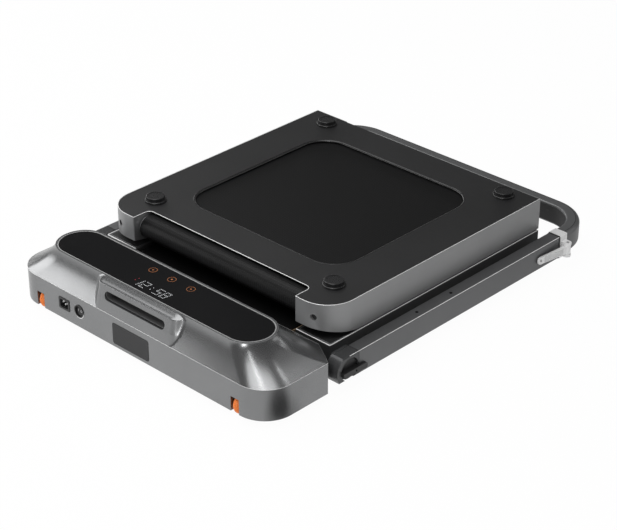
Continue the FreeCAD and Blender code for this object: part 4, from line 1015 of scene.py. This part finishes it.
def parting_line():
    """Fine bright line where the cover meets the pan: a painted highlight along the seam."""
    sizes = bpy.context.scene.pad_head
    form = HeadForm()
    columns = spread([(-sizes.boss_half, 0), (sizes.boss_half, 12)])
    loop = form.outline(form.low, columns)
    centre = Vector((0, head_front + form.depth / 2, form.low))
    bm = bmesh.new()
    loops = []
    for rise, proud in ((-1, 0), (-0.5, 1), (0.5, 1), (1, 0)):
        lifted = []
        for point in loop:
            out = (point - centre).normalized() * sizes.line_proud * proud
            lifted.append(point + out + Vector((0, 0, rise * sizes.line_height / 2)))
        loops.append(lifted)
    band(bm, loops)
    # The parting line's bright strip is a painted highlight
    piece_from("parting_line", bm, "edge_light", "base")


def bare_plate():
    """Plain dark plate on the head's front face."""
    sizes = bpy.context.scene.pad_head
    bm = bmesh.new()
    middle = split_z - sizes.plate_drop - sizes.plate_height / 2

    def place(a, b, rise):
        return Vector((sizes.plate_side + a, head_front - rise, middle + b))

    outline = rounded_outline(sizes.plate_width, sizes.plate_height, sizes.plate_radius)
    slab(bm, outline, place, sizes.plate_thick)
    piece_from("bare_plate", bm, "plate_dark", "base")


class PAD_OT_motor_head(Operator):
    """Shells of the motor head with their plate and parting line"""
    bl_idname = "pad.motor_head"
    bl_label = "Motor head"

    def execute(self, context):
        sizes = context.scene.pad_head
        painted("head_base_pan", "head_satin")
        cover_skin()
        parting_line()
        softened("handle_pocket", "pocket_plastic", sizes.edge)
        bare_plate()
        return {"FINISHED"}


def mains_inlet():
    """Inlet with a bevelled flange, a deep mouth and three pins."""
    sizes = bpy.context.scene.pad_entry
    middle = (inlet_low + inlet_high) / 2
    width = inlet_high.x - inlet_low.x
    height = inlet_high.z - inlet_low.z
    front = inlet_low.y
    bevel = sizes.flange_thick / 3
    mouth = (width - 2 * sizes.flange_width, height - 2 * sizes.flange_width, sizes.mouth_radius)
    back = (mouth[0] + sizes.flange_width, mouth[1] + sizes.flange_width, mouth[2])
    stations = [(*back, front + sizes.mouth_depth + sizes.flange_thick), (*back, front + sizes.flange_thick),
                (width, height, sizes.flange_radius, front + sizes.flange_thick),
                (width, height, sizes.flange_radius, front + bevel),
                (width - 2 * bevel, height - 2 * bevel, sizes.flange_radius, front),
                (mouth[0] + bevel, mouth[1] + bevel, mouth[2], front),
                (*mouth, front + bevel), (*mouth, front + sizes.mouth_depth)]
    bm = bmesh.new()
    loops = []
    for across, up, radius, y in stations:
        outline = rounded_outline(across, up, radius)
        loops.append([Vector((middle.x + a, y, middle.z + b)) for a, b in outline])
    capped(bm, loops)
    piece = trim_piece("inlet_shell", bm, "black_plastic", "power_inlet")
    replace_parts(piece, "power_inlet")
    bm = bmesh.new()
    end = front + sizes.mouth_depth
    tip = end - sizes.pin_length
    for side, rise in ((-1, 1), (0, -1), (1, 1)):
        centre_x = middle.x + side * sizes.pin_spread
        centre_z = middle.z + rise * sizes.pin_rise
        loops = []
        for part, y in ((1, end), (1, tip + sizes.pin_width / 2), (0.5, tip)):
            width = sizes.pin_width * part
            outline = rounded_outline(width, sizes.pin_height * part, width / 4, 3)
            loops.append([Vector((centre_x + a, y, centre_z + b)) for a, b in outline])
        capped(bm, loops)
    piece_from("inlet_pins", bm, "edge_light", "base")


def switch_trims():
    """Marks on the rocker, with a faint painted glow, and the bright crescent below the switch, which is a
    painted highlight.
    """
    sizes = bpy.context.scene.pad_entry
    middle = (rocker_low + rocker_high) / 2
    lean = Matrix.Rotation(sizes.rocker_lean, 3, "X")

    def place(a, b, rise):
        return middle + lean @ Vector((a, -sizes.rocker_depth - rise, b))

    bm = bmesh.new()
    bar = rounded_outline(sizes.mark_line, sizes.mark, sizes.mark_line / 3, 3)
    slab(bm, [(a - sizes.mark_side, b) for a, b in bar], place, sizes.mark_thick)
    outer = sizes.mark / 2
    inner = outer - sizes.mark_line
    ring = [(inner, 0), (inner, sizes.mark_thick), (outer, sizes.mark_thick), (outer, 0)]
    turned(bm, ring, place(sizes.mark_side, 0, 0), lean @ Vector((0, -1, 0)), small_steps)
    # Printed marks with a faint glow that is painted light
    trim_piece("switch_marks", bm, "mark_print", "power_rocker")
    bm = bmesh.new()
    centre = (bezel_low + bezel_high) / 2
    shift = sizes.glint_shift
    hub = Vector((centre.x - shift / 2, head_front, centre.z - shift))
    edge = sizes.glint_thick
    inside = sizes.washer - 3 * edge
    turned(bm, [(inside, -edge), (sizes.washer, -edge), (sizes.washer, edge / 2), (sizes.washer - edge, edge),
                (inside, edge), (inside, -edge)], hub, Vector((0, -1, 0)))
    bmesh.ops.remove_doubles(bm, verts=bm.verts, dist=weld_gap)
    # Bright ring off the middle below the switch, showing as a crescent: painted highlight
    piece_from("switch_washer", bm, "edge_light", "base")


class PAD_OT_power_entry(Operator):
    """Mains inlet, switch bezel and rocker"""
    bl_idname = "pad.power_entry"
    bl_label = "Power entry"

    def execute(self, context):
        edge = context.scene.pad_head.edge / 2
        mains_inlet()
        softened("switch_bezel", "black_plastic", edge)
        softened("power_rocker", "black_plastic", edge)
        switch_trims()
        return {"FINISHED"}


# Steps from the middle of a wheel's tread to its shoulder
tread_steps = 6


def barrel_wheel(side):
    """Crowned wheel with dished sides and a hub."""
    sizes = bpy.context.scene.pad_entry
    node = "wheel_" + side
    low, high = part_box(node)
    middle = (low + high) / 2
    half = (high.x - low.x) / 2
    radius = (high.z - low.z) / 2
    shoulder = radius - sizes.tread_crown
    rim = shoulder - sizes.wheel_dish
    dish = half - sizes.wheel_dish
    tread = []
    for step in range(-tread_steps, tread_steps + 1):
        part = step / tread_steps
        tread.append((radius - sizes.tread_crown * part * part, part * (half - sizes.wheel_dish / 2)))
    right = [(shoulder - sizes.wheel_dish / 2, half), (rim, half), (rim - sizes.wheel_dish / 2, dish),
             (sizes.wheel_hub, dish), (sizes.wheel_hub, half), (sizes.wheel_bore, half)]
    left = [(r, -along) for r, along in reversed(right)]
    bm = bmesh.new()
    turned(bm, [*left, *tread, *right, left[0]], middle, Vector((1, 0, 0)))
    bmesh.ops.remove_doubles(bm, verts=bm.verts, dist=weld_gap)
    piece = trim_piece(node + "_barrel", bm, "wheel_orange", node)
    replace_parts(piece, node)


class PAD_OT_transport_wheels(Operator):
    """Orange transport wheels and their axles"""
    bl_idname = "pad.transport_wheels"
    bl_label = "Transport wheels"

    def execute(self, context):
        for side in ("left", "right"):
            barrel_wheel(side)
        painted("wheel_axles", "turned_steel")
        return {"FINISHED"}


# Deck halves

def sheet_lip():
    """Painted highlight along the lip of the rear rails round the sheet, with the notch over the roller."""
    sizes = bpy.context.scene.pad_deck
    inset = sizes.lip / 2
    outer = rear_rail_high.x - inset
    inner = rear_rail_low.x + inset
    front = rear_rail_low.y + inset
    back = rear_rail_high.y - inset
    notch = rear_rail_low.y + sizes.notch_depth + inset
    round_corner = sizes.cheek_radius - inset
    right = [(inner, notch, sizes.notch_radius), (inner, front, sizes.cheek_tip),
             (outer, front, round_corner), (outer, back, 0)]
    left = [(-x, y, radius) for x, y, radius in reversed(right)]
    bm = bmesh.new()
    bead = half_round(sizes.lip, sizes.lip_proud, sizes.sink)
    swept(bm, rounded_path(left + right), bead, rear_rail_high.z)
    # Bright bead along the rear rails' lip: painted highlight
    trim_piece("sheet_lip", bm, "edge_light", "rear_rail_right")


def rounded_ring(left, right, front, back, corner, steps=10):
    """Closed path round a rectangle with rounded corners."""
    corners = [(left, front, corner), (right, front, corner), (right, back, corner), (left, back, corner)]
    return rounded_path(corners, True, steps)


# Steps along the roll of the window's lip and round its corners
roll_steps = 8
window_steps = 16


def window_lip():
    """Rolled lip round the window in the rear sheet."""
    sizes = bpy.context.scene.pad_deck
    front = rear_rail_low.y + sizes.window_front
    back = rear_rail_high.y - sizes.window_back
    half = sizes.window_half
    path = rounded_ring(-half, half, front, back, sizes.window_radius, window_steps)
    wide = sizes.window_lip
    drop = sizes.window_drop
    rise = sizes.window_rise
    roll = []
    for step in range(roll_steps + 1):
        turn = math.pi / 2 * step / roll_steps
        roll.append((-wide * math.sin(turn), rise - (rise + drop) * (1 - math.cos(turn))))
    profile = [(2 * rise, -sizes.sink), (2 * rise, 0), *roll, (-wide, -drop - rise), (0, -drop - rise)]
    bm = bmesh.new()
    swept(bm, path, profile, plate_top, True)
    trim_piece("window_lip", bm, "sheet_gloss", "rear_bottom_plate")


def rail_beads():
    """Painted highlights along the front rails' edges, and the thin beads round the foot strips of both
    halves.
    """
    sizes = bpy.context.scene.pad_deck
    inset = sizes.edge / 2
    inner = front_rail_low.x + inset
    outer = front_rail_high.x - inset
    front = front_rail_low.y + inset
    back = front_rail_high.y - inset
    edge = rounded_path([(inner, front, 0), (outer, front, sizes.edge), (outer, back, 0)])
    bm = bmesh.new()
    for path in both_sides(edge):
        swept(bm, path, half_round(sizes.edge, sizes.highlight_proud, sizes.sink), front_rail_high.z)
    # Bright beads along the front rails' edges: painted highlights
    trim_piece("front_rail_edges", bm, "edge_light", "front_rail_right")
    for half, level, face in (("front", front_rail_high.z, 1), ("rear", rear_rail_low.z, -1)):
        low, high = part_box(half + "_foot_strips")
        strip_outer = high.x + sizes.bead / 2
        strip_inner = front_rail_low.x + front_rail_high.x - strip_outer
        near = low.y - sizes.bead / 2
        far = high.y + sizes.bead / 2
        ring = rounded_ring(strip_inner, strip_outer, near, far, sizes.cheek_tip)
        bm = bmesh.new()
        for path in both_sides(ring):
            swept(bm, path, half_round(sizes.bead, sizes.lip_proud, sizes.sink), level, True, face)
        trim_piece(half + "_strip_beads", bm, "bead_satin", half + "_foot_strips")


class PAD_OT_deck_halves(Operator):
    """Rails, belts, sheets, strips and feet of both deck halves"""
    bl_idname = "pad.deck_halves"
    bl_label = "Deck halves"

    def execute(self, context):
        sizes = context.scene.pad_deck
        for half in ("front", "rear"):
            for side in ("left", "right"):
                # The front rails take the darker copy of the rail finish, which is painted shade
                painted(half + "_rail_" + side, "rail_dark" if half == "front" else "rail_anodised")
            softened(half + "_bottom_plate", "sheet_grain", sizes.sheet_edge)
            painted(half + "_foot_strips", "rubber_matt")
            painted(half + "_belt", "belt_weave")
            painted(half + "_deck_board", "board_wood")
            painted(half + "_cross_beams", "post_paint")
            painted(half + "_deck_cushions", "rubber_matt")
            painted(half + "_feet", "foot_rubber_satin")
        sheet_lip()
        window_lip()
        rail_beads()
        return {"FINISHED"}


inner_finishes = {
    "post_paint": ("drive_motor", "frame_tubes", "fold_hinge_front_leaves", "fold_hinge_rear_leaves",
                   "handrail_brackets"),
    "turned_steel": ("front_roller", "rear_roller", "front_roller_axle", "rear_roller_axle",
                     "front_roller_bearings", "rear_roller_bearings", "front_roller_pulley", "motor_pulley",
                     "handrail_pivot_pins", "fold_hinge_pins", "lever_pins", "inner_tubes"),
    "black_plastic": ("motor_controller", "tension_bolts"),
    "rubber_matt": ("drive_belt",),
}


class PAD_OT_inner_works(Operator):
    """Motor, controller, rollers, hinges and other works inside"""
    bl_idname = "pad.inner_works"
    bl_label = "Inner works"

    def execute(self, context):
        for finish, nodes in inner_finishes.items():
            for node in nodes:
                painted(node, finish)
        return {"FINISHED"}


# Handrail

def post_trims():
    """Bright lines along the posts' top outer edges, which are painted highlights; seams and gaskets on the
    posts; and the small holes on top of them, dark discs of painted shade.
    """
    sizes = bpy.context.scene.pad_rail
    corner = sizes.post_radius
    lean = (corner - sizes.edge_line / 2) * math.sqrt(1 / 2)
    x = post_outer - corner + lean
    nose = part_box("post_knuckles")[0].y + sizes.nose_reach
    line = [Vector((x, nose, 0)), Vector((x, post_low.y, 0)), Vector((x, post_high.y - sizes.gasket, 0))]
    bm = bmesh.new()
    for path in both_sides(line):
        swept(bm, path, round_profile(sizes.edge_line), post_top - corner + lean)
    # Bright lines along the posts' edges: painted highlights
    trim_piece("post_edge_lines", bm, "edge_light", "post_right")
    middle_x = (post_inner + post_outer) / 2
    middle_z = (post_low.z + post_top) / 2
    width = post_outer - post_inner
    height = post_top - post_low.z
    bm = bmesh.new()
    for sign in (-1, 1):
        for start, thick, proud in ((post_low.y - sizes.cap_seam / 2, sizes.cap_seam, sizes.seam_proud),
                                    (post_high.y - sizes.gasket, sizes.gasket, sizes.gasket_proud)):
            loops = []
            for grow, along in ((-1, 0), (1, 0), (1, thick), (-1, thick), (-1, 0)):
                more = grow * proud
                outline = rounded_outline(width + 2 * more, height + 2 * more, corner + more)
                loops.append([Vector((sign * middle_x + a, start + along, middle_z + b)) for a, b in outline])
            band(bm, loops)
    bmesh.ops.remove_doubles(bm, verts=bm.verts, dist=weld_gap)
    trim_piece("post_gaskets", bm, "black_plastic", "post_right")
    bm = bmesh.new()
    rim = sizes.hole_radius + sizes.hole_rim
    for sign in (-1, 1):
        for number in range(2):
            centre = Vector((sign * middle_x, sizes.first_hole + number * sizes.hole_step, post_top))
            turned(bm, [(0, -sizes.seam_proud), (rim, -sizes.seam_proud), (rim, sizes.seam_proud),
                        (sizes.hole_radius, 2 * sizes.seam_proud), (0, sizes.seam_proud / 2)],
                   centre, Vector((0, 0, 1)), small_steps)
    # The small holes are dark discs: painted shade
    trim_piece("post_holes", bm, "hole_black", "post_right")


# Rim of the hole in the liner: shares of its radius, and heights as counts of a seam's height
liner_rim_shares = ((0, 0), (1, 0), (1, 4), (0.8, 6), (0.6, 4), (0, 4))
bend_steps = 24


def bar_trims():
    """Seam along the top of the grab bar, and the small hole in its liner, a dark disc of painted shade."""
    sizes = bpy.context.scene.pad_rail
    x = bar_high.x - sizes.seam_side
    far = bar_high.y - sizes.seam_side
    bend = sizes.bar_bend + (post_outer - post_inner) / 2 - sizes.seam_side
    path = rounded_path([(x, bar_low.y, 0), (x, far, bend), (-x, far, bend), (-x, bar_low.y, 0)], False,
                        bend_steps)
    bm = bmesh.new()
    swept(bm, path, half_round(sizes.seam, sizes.seam_proud, sizes.seam_proud), bar_high.z)
    trim_piece("bar_seam", bm, "black_plastic", "grab_bar")
    bm = bmesh.new()
    face = bar_high.y - (post_outer - post_inner)
    level = (bar_low.z + bar_high.z) / 2 + sizes.liner_hole_up
    rim = [(sizes.liner_hole * part, sizes.seam_proud * count) for part, count in liner_rim_shares]
    for sign in (-1, 1):
        centre = Vector((sign * sizes.liner_hole_side, face, level))
        turned(bm, rim, centre, Vector((0, -1, 0)), small_steps)
    # The liner's hole is a dark disc: painted shade
    trim_piece("liner_holes", bm, "knob_plastic", "grab_bar_liner")


def lever_ribs(side):
    """Shaded panel on the outer face of a clamp lever, and the ribs across it."""
    sizes = bpy.context.scene.pad_rail
    sign = 1 if side == "right" else -1
    pin = Vector((pins_high.x - (pins_high.y - pins_low.y) / 2, (pins_high.y + pins_low.y) / 2))
    tip = Vector((lever_low.x + sizes.lever_tip, lever_low.y))
    root = Vector((pin.x + sizes.lever_root, pin.y))
    middle = (lever_low.z + lever_high.z) / 2
    along = (root - tip).normalized()
    out = Vector((along.y, -along.x))
    run = (sizes.ribs - 1) * sizes.rib_step
    centre = tip + along * (sizes.rib_start + run / 2)

    def place(a, b, rise):
        spot = centre + along * a + out * (rise - sizes.rib_proud / 4)
        return Vector((sign * spot.x, spot.y, middle + b))

    bm = bmesh.new()
    panel = rounded_outline(run + 2 * sizes.rib, sizes.rib_height + sizes.rib, sizes.rib)
    slab(bm, panel, place, sizes.rib_proud / 2)
    trim_piece("lever_panel_" + side, bm, "rib_shadow", "lever_" + side)
    bm = bmesh.new()
    for number in range(sizes.ribs):
        start = tip + along * (sizes.rib_start + number * sizes.rib_step)
        loops = []
        for part, rise in ((1, -sizes.rib_proud / 4), (1, sizes.rib_proud / 2), (0.5, sizes.rib_proud)):
            loop = []
            for a, b in rounded_outline(sizes.rib * part, sizes.rib_height - sizes.rib * (1 - part),
                                        sizes.rib * part / 4, 2):
                spot = start + along * a + out * rise
                loop.append(Vector((sign * spot.x, spot.y, middle + b)))
            loops.append(loop)
        capped(bm, loops)
    trim_piece("lever_ribs_" + side, bm, "silver_alloy", "lever_" + side)


class PAD_OT_handrail(Operator):
    """Posts, noses, knobs, clamps and grab bar of the handrail"""
    bl_idname = "pad.handrail"
    bl_label = "Handrail"

    def execute(self, context):
        sizes = context.scene.pad_rail
        for side in ("left", "right"):
            painted("post_" + side, "post_paint")
            softened("knob_" + side, "knob_plastic", sizes.edge)
            painted("lever_" + side, "silver_alloy")
            lever_ribs(side)
        # The noses take the darker copy of the paint, which is painted shade
        painted("post_knuckles", "nose_paint")
        painted("clamp_collars", "silver_alloy")
        painted("grab_bar", "bar_paint")
        painted("grab_bar_liner", "rubber_matt")
        post_trims()
        bar_trims()
        return {"FINISHED"}


# Stage

# Softboxes: name, direction (azimuth, elevation) in degrees, distance, width, height, power
lamps = (
    ("key_softbox", (-15, 74), 3.2, 3.2, 3.2, 80),
    ("front_left_wall", (-60, 13), 3.4, 2.8, 1.1, 32),
    ("left_wall", (-104, 12), 3.2, 1.5, 0.8, 11),
    ("boss_softbox", (-106, 50), 3.0, 1.7, 0.9, 10),
    ("back_left_wall", (-136, 5), 3.2, 2.4, 0.4, 2.5),
    ("corner_strip", (34, 52), 3.0, 0.16, 2.0, 7),
    ("low_corner_strip", (26, 7), 3.0, 0.5, 0.7, 14),
    ("side_wall", (140, 12), 3.2, 1.6, 0.9, 4),
    ("back_right_strip", (132, 55), 3.0, 0.6, 0.12, 2.4),
    ("back_softbox", (156, 26), 3.0, 0.3, 0.9, 1.6),
    ("edge_softbox", (142, 37), 3.0, 0.35, 0.4, 1.2),
)


def area_lamp(name, direction, distance, width, height, power, target):
    """Softbox that looks at the target."""
    azimuth, elevation = (math.radians(value) for value in direction)
    way = Vector((math.sin(azimuth) * math.cos(elevation), -math.cos(azimuth) * math.cos(elevation),
                  math.sin(elevation)))
    data = bpy.data.lights.new(name, "AREA")
    data.shape = "RECTANGLE"
    data.size = width
    data.size_y = height
    data.energy = power
    lamp = bpy.data.objects.new(name, data)
    lamp.location = target + way * distance
    lamp.rotation_euler = way.to_track_quat("Z", "Y").to_euler()
    bpy.context.scene.collection.objects.link(lamp)


def faded(material, place, distances, values):
    """Value that goes from the first to the second of two as the distance from a place grows."""
    nodes, links = tree_of(material)
    point = nodes.new("ShaderNodeTexCoord")
    away = nodes.new("ShaderNodeVectorMath")
    away.operation = "DISTANCE"
    away.inputs[1].default_value = place
    links.new(point.outputs["Object"], away.inputs[0])
    fade = nodes.new("ShaderNodeMapRange")
    fade.inputs["From Min"].default_value = distances[0]
    fade.inputs["From Max"].default_value = distances[1]
    fade.inputs["To Min"].default_value = values[0]
    fade.inputs["To Max"].default_value = values[1]
    links.new(away.outputs["Value"], fade.inputs["Value"])
    return fade.outputs["Result"]


def white_floor(sizes):
    """White floor: most of its white is its own, the rest takes the light and keeps the shadow.

    In reflections it is a painted pool of light with a soft dark card in it, painted shade beside the head's
    corner.
    """
    material = bpy.data.materials.new("floor_white")
    material.use_nodes = True
    material.cycles.emission_sampling = "NONE"
    nodes, links = tree_of(material)
    shader = nodes["Principled BSDF"]
    shader.inputs["Base Color"].default_value = (*[sizes.floor_tone] * 3, 1)
    shader.inputs["Roughness"].default_value = sizes.floor_rough
    shader.inputs["Specular IOR Level"].default_value = 0.0
    rays = nodes.new("ShaderNodeLightPath").outputs
    part = combined(material, "MULTIPLY", rays["Is Camera Ray"], sizes.floor_glow)
    for ray in ("Is Glossy Ray", "Is Transmission Ray"):
        part = combined(material, "MAXIMUM", part, rays[ray])
    pool = faded(material, sizes.pool_place, sizes.floor_pool, sizes.floor_mirror)
    # Dark patch in the reflected floor beside the head's corner: painted shade
    card = faded(material, sizes.card_place, sizes.card_reach, (sizes.card_dark, 1))
    mirrored = combined(material, "MULTIPLY", pool, card)
    light = nodes.new("ShaderNodeEmission")
    light.inputs["Color"].default_value = (1, 1, 1, 1)
    links.new(combined(material, "MAXIMUM", rays["Is Camera Ray"], mirrored), light.inputs["Strength"])
    mix = nodes.new("ShaderNodeMixShader")
    links.new(part, mix.inputs["Fac"])
    links.new(shader.outputs["BSDF"], mix.inputs[1])
    links.new(light.outputs["Emission"], mix.inputs[2])
    links.new(mix.outputs["Shader"], nodes["Material Output"].inputs["Surface"])
    half = sizes.floor
    corners = [(-half, -half, 0), (half, -half, 0), (half, half, 0), (-half, half, 0)]
    mesh = bpy.data.meshes.new("floor")
    mesh.from_pydata(corners, [], [(0, 1, 2, 3)])
    mesh.materials.append(material)
    floor = bpy.data.objects.new("floor", mesh)
    bpy.context.scene.collection.objects.link(floor)


def white_room(light):
    """Room that is white behind the pad and lights it evenly with the given strength."""
    world = bpy.data.worlds.new("room")
    world.use_nodes = True
    nodes, links = tree_of(world)
    rays = nodes.new("ShaderNodeLightPath").outputs
    background = nodes["Background"]
    background.inputs["Color"].default_value = (1, 1, 1, 1)
    links.new(combined(world, "MAXIMUM", rays["Is Camera Ray"], light), background.inputs["Strength"])
    return world


class PAD_OT_stage(Operator):
    """Camera, white floor and soft lamps"""
    bl_idname = "pad.stage"
    bl_label = "Stage"

    def execute(self, context):
        scene = context.scene
        sizes = scene.pad_stage
        data = bpy.data.cameras.new("camera")
        data.sensor_width = sizes.sensor
        data.sensor_fit = "HORIZONTAL"
        data.lens = sizes.lens
        camera = bpy.data.objects.new("camera", data)
        place = Vector(sizes.camera)
        target = Vector(sizes.target)
        camera.location = place
        camera.rotation_euler = (target - place).to_track_quat("-Z", "Y").to_euler()
        scene.collection.objects.link(camera)
        scene.camera = camera
        white_floor(sizes)
        scene.world = white_room(sizes.world)
        for lamp in lamps:
            area_lamp(*lamp, Vector(sizes.lamp_target))
        scene.view_settings.view_transform = "Standard"
        return {"FINISHED"}


class PAD_PT_pieces(Panel):
    """List of the pad's pieces"""
    bl_idname = "PAD_PT_pieces"
    bl_label = "Walking pad"
    bl_space_type = "VIEW_3D"
    bl_region_type = "UI"
    bl_category = "Walking pad"

    def draw(self, context):
        for operator in operators:
            self.layout.operator(operator.bl_idname)
        for name in groups:
            box = self.layout.box()
            group = getattr(context.scene, name)
            for key in group.bl_rna.properties.keys():
                if key not in ("rna_type", "name"):
                    box.prop(group, key)


groups = {"pad_colours": PadColours, "pad_panel": PanelSizes, "pad_head": HeadSizes, "pad_deck": DeckSizes,
          "pad_rail": RailSizes, "pad_entry": EntrySizes, "pad_stage": StageSizes}
operators = (PAD_OT_motor_head, PAD_OT_control_panel, PAD_OT_power_entry, PAD_OT_transport_wheels,
             PAD_OT_deck_halves, PAD_OT_inner_works, PAD_OT_handrail, PAD_OT_stage)


def register():
    for group in groups.values():
        bpy.utils.register_class(group)
    for name, group in groups.items():
        setattr(bpy.types.Scene, name, PointerProperty(type=group))
    for operator in operators:
        bpy.utils.register_class(operator)
    bpy.utils.register_class(PAD_PT_pieces)


def unregister():
    bpy.utils.unregister_class(PAD_PT_pieces)
    for operator in reversed(operators):
        bpy.utils.unregister_class(operator)
    for name, group in groups.items():
        delattr(bpy.types.Scene, name)
        bpy.utils.unregister_class(group)


def main():
    register()
    for operator in operators:
        family, name = operator.bl_idname.split(".")
        getattr(getattr(bpy.ops, family), name)()


if __name__ == "__main__":
    main()
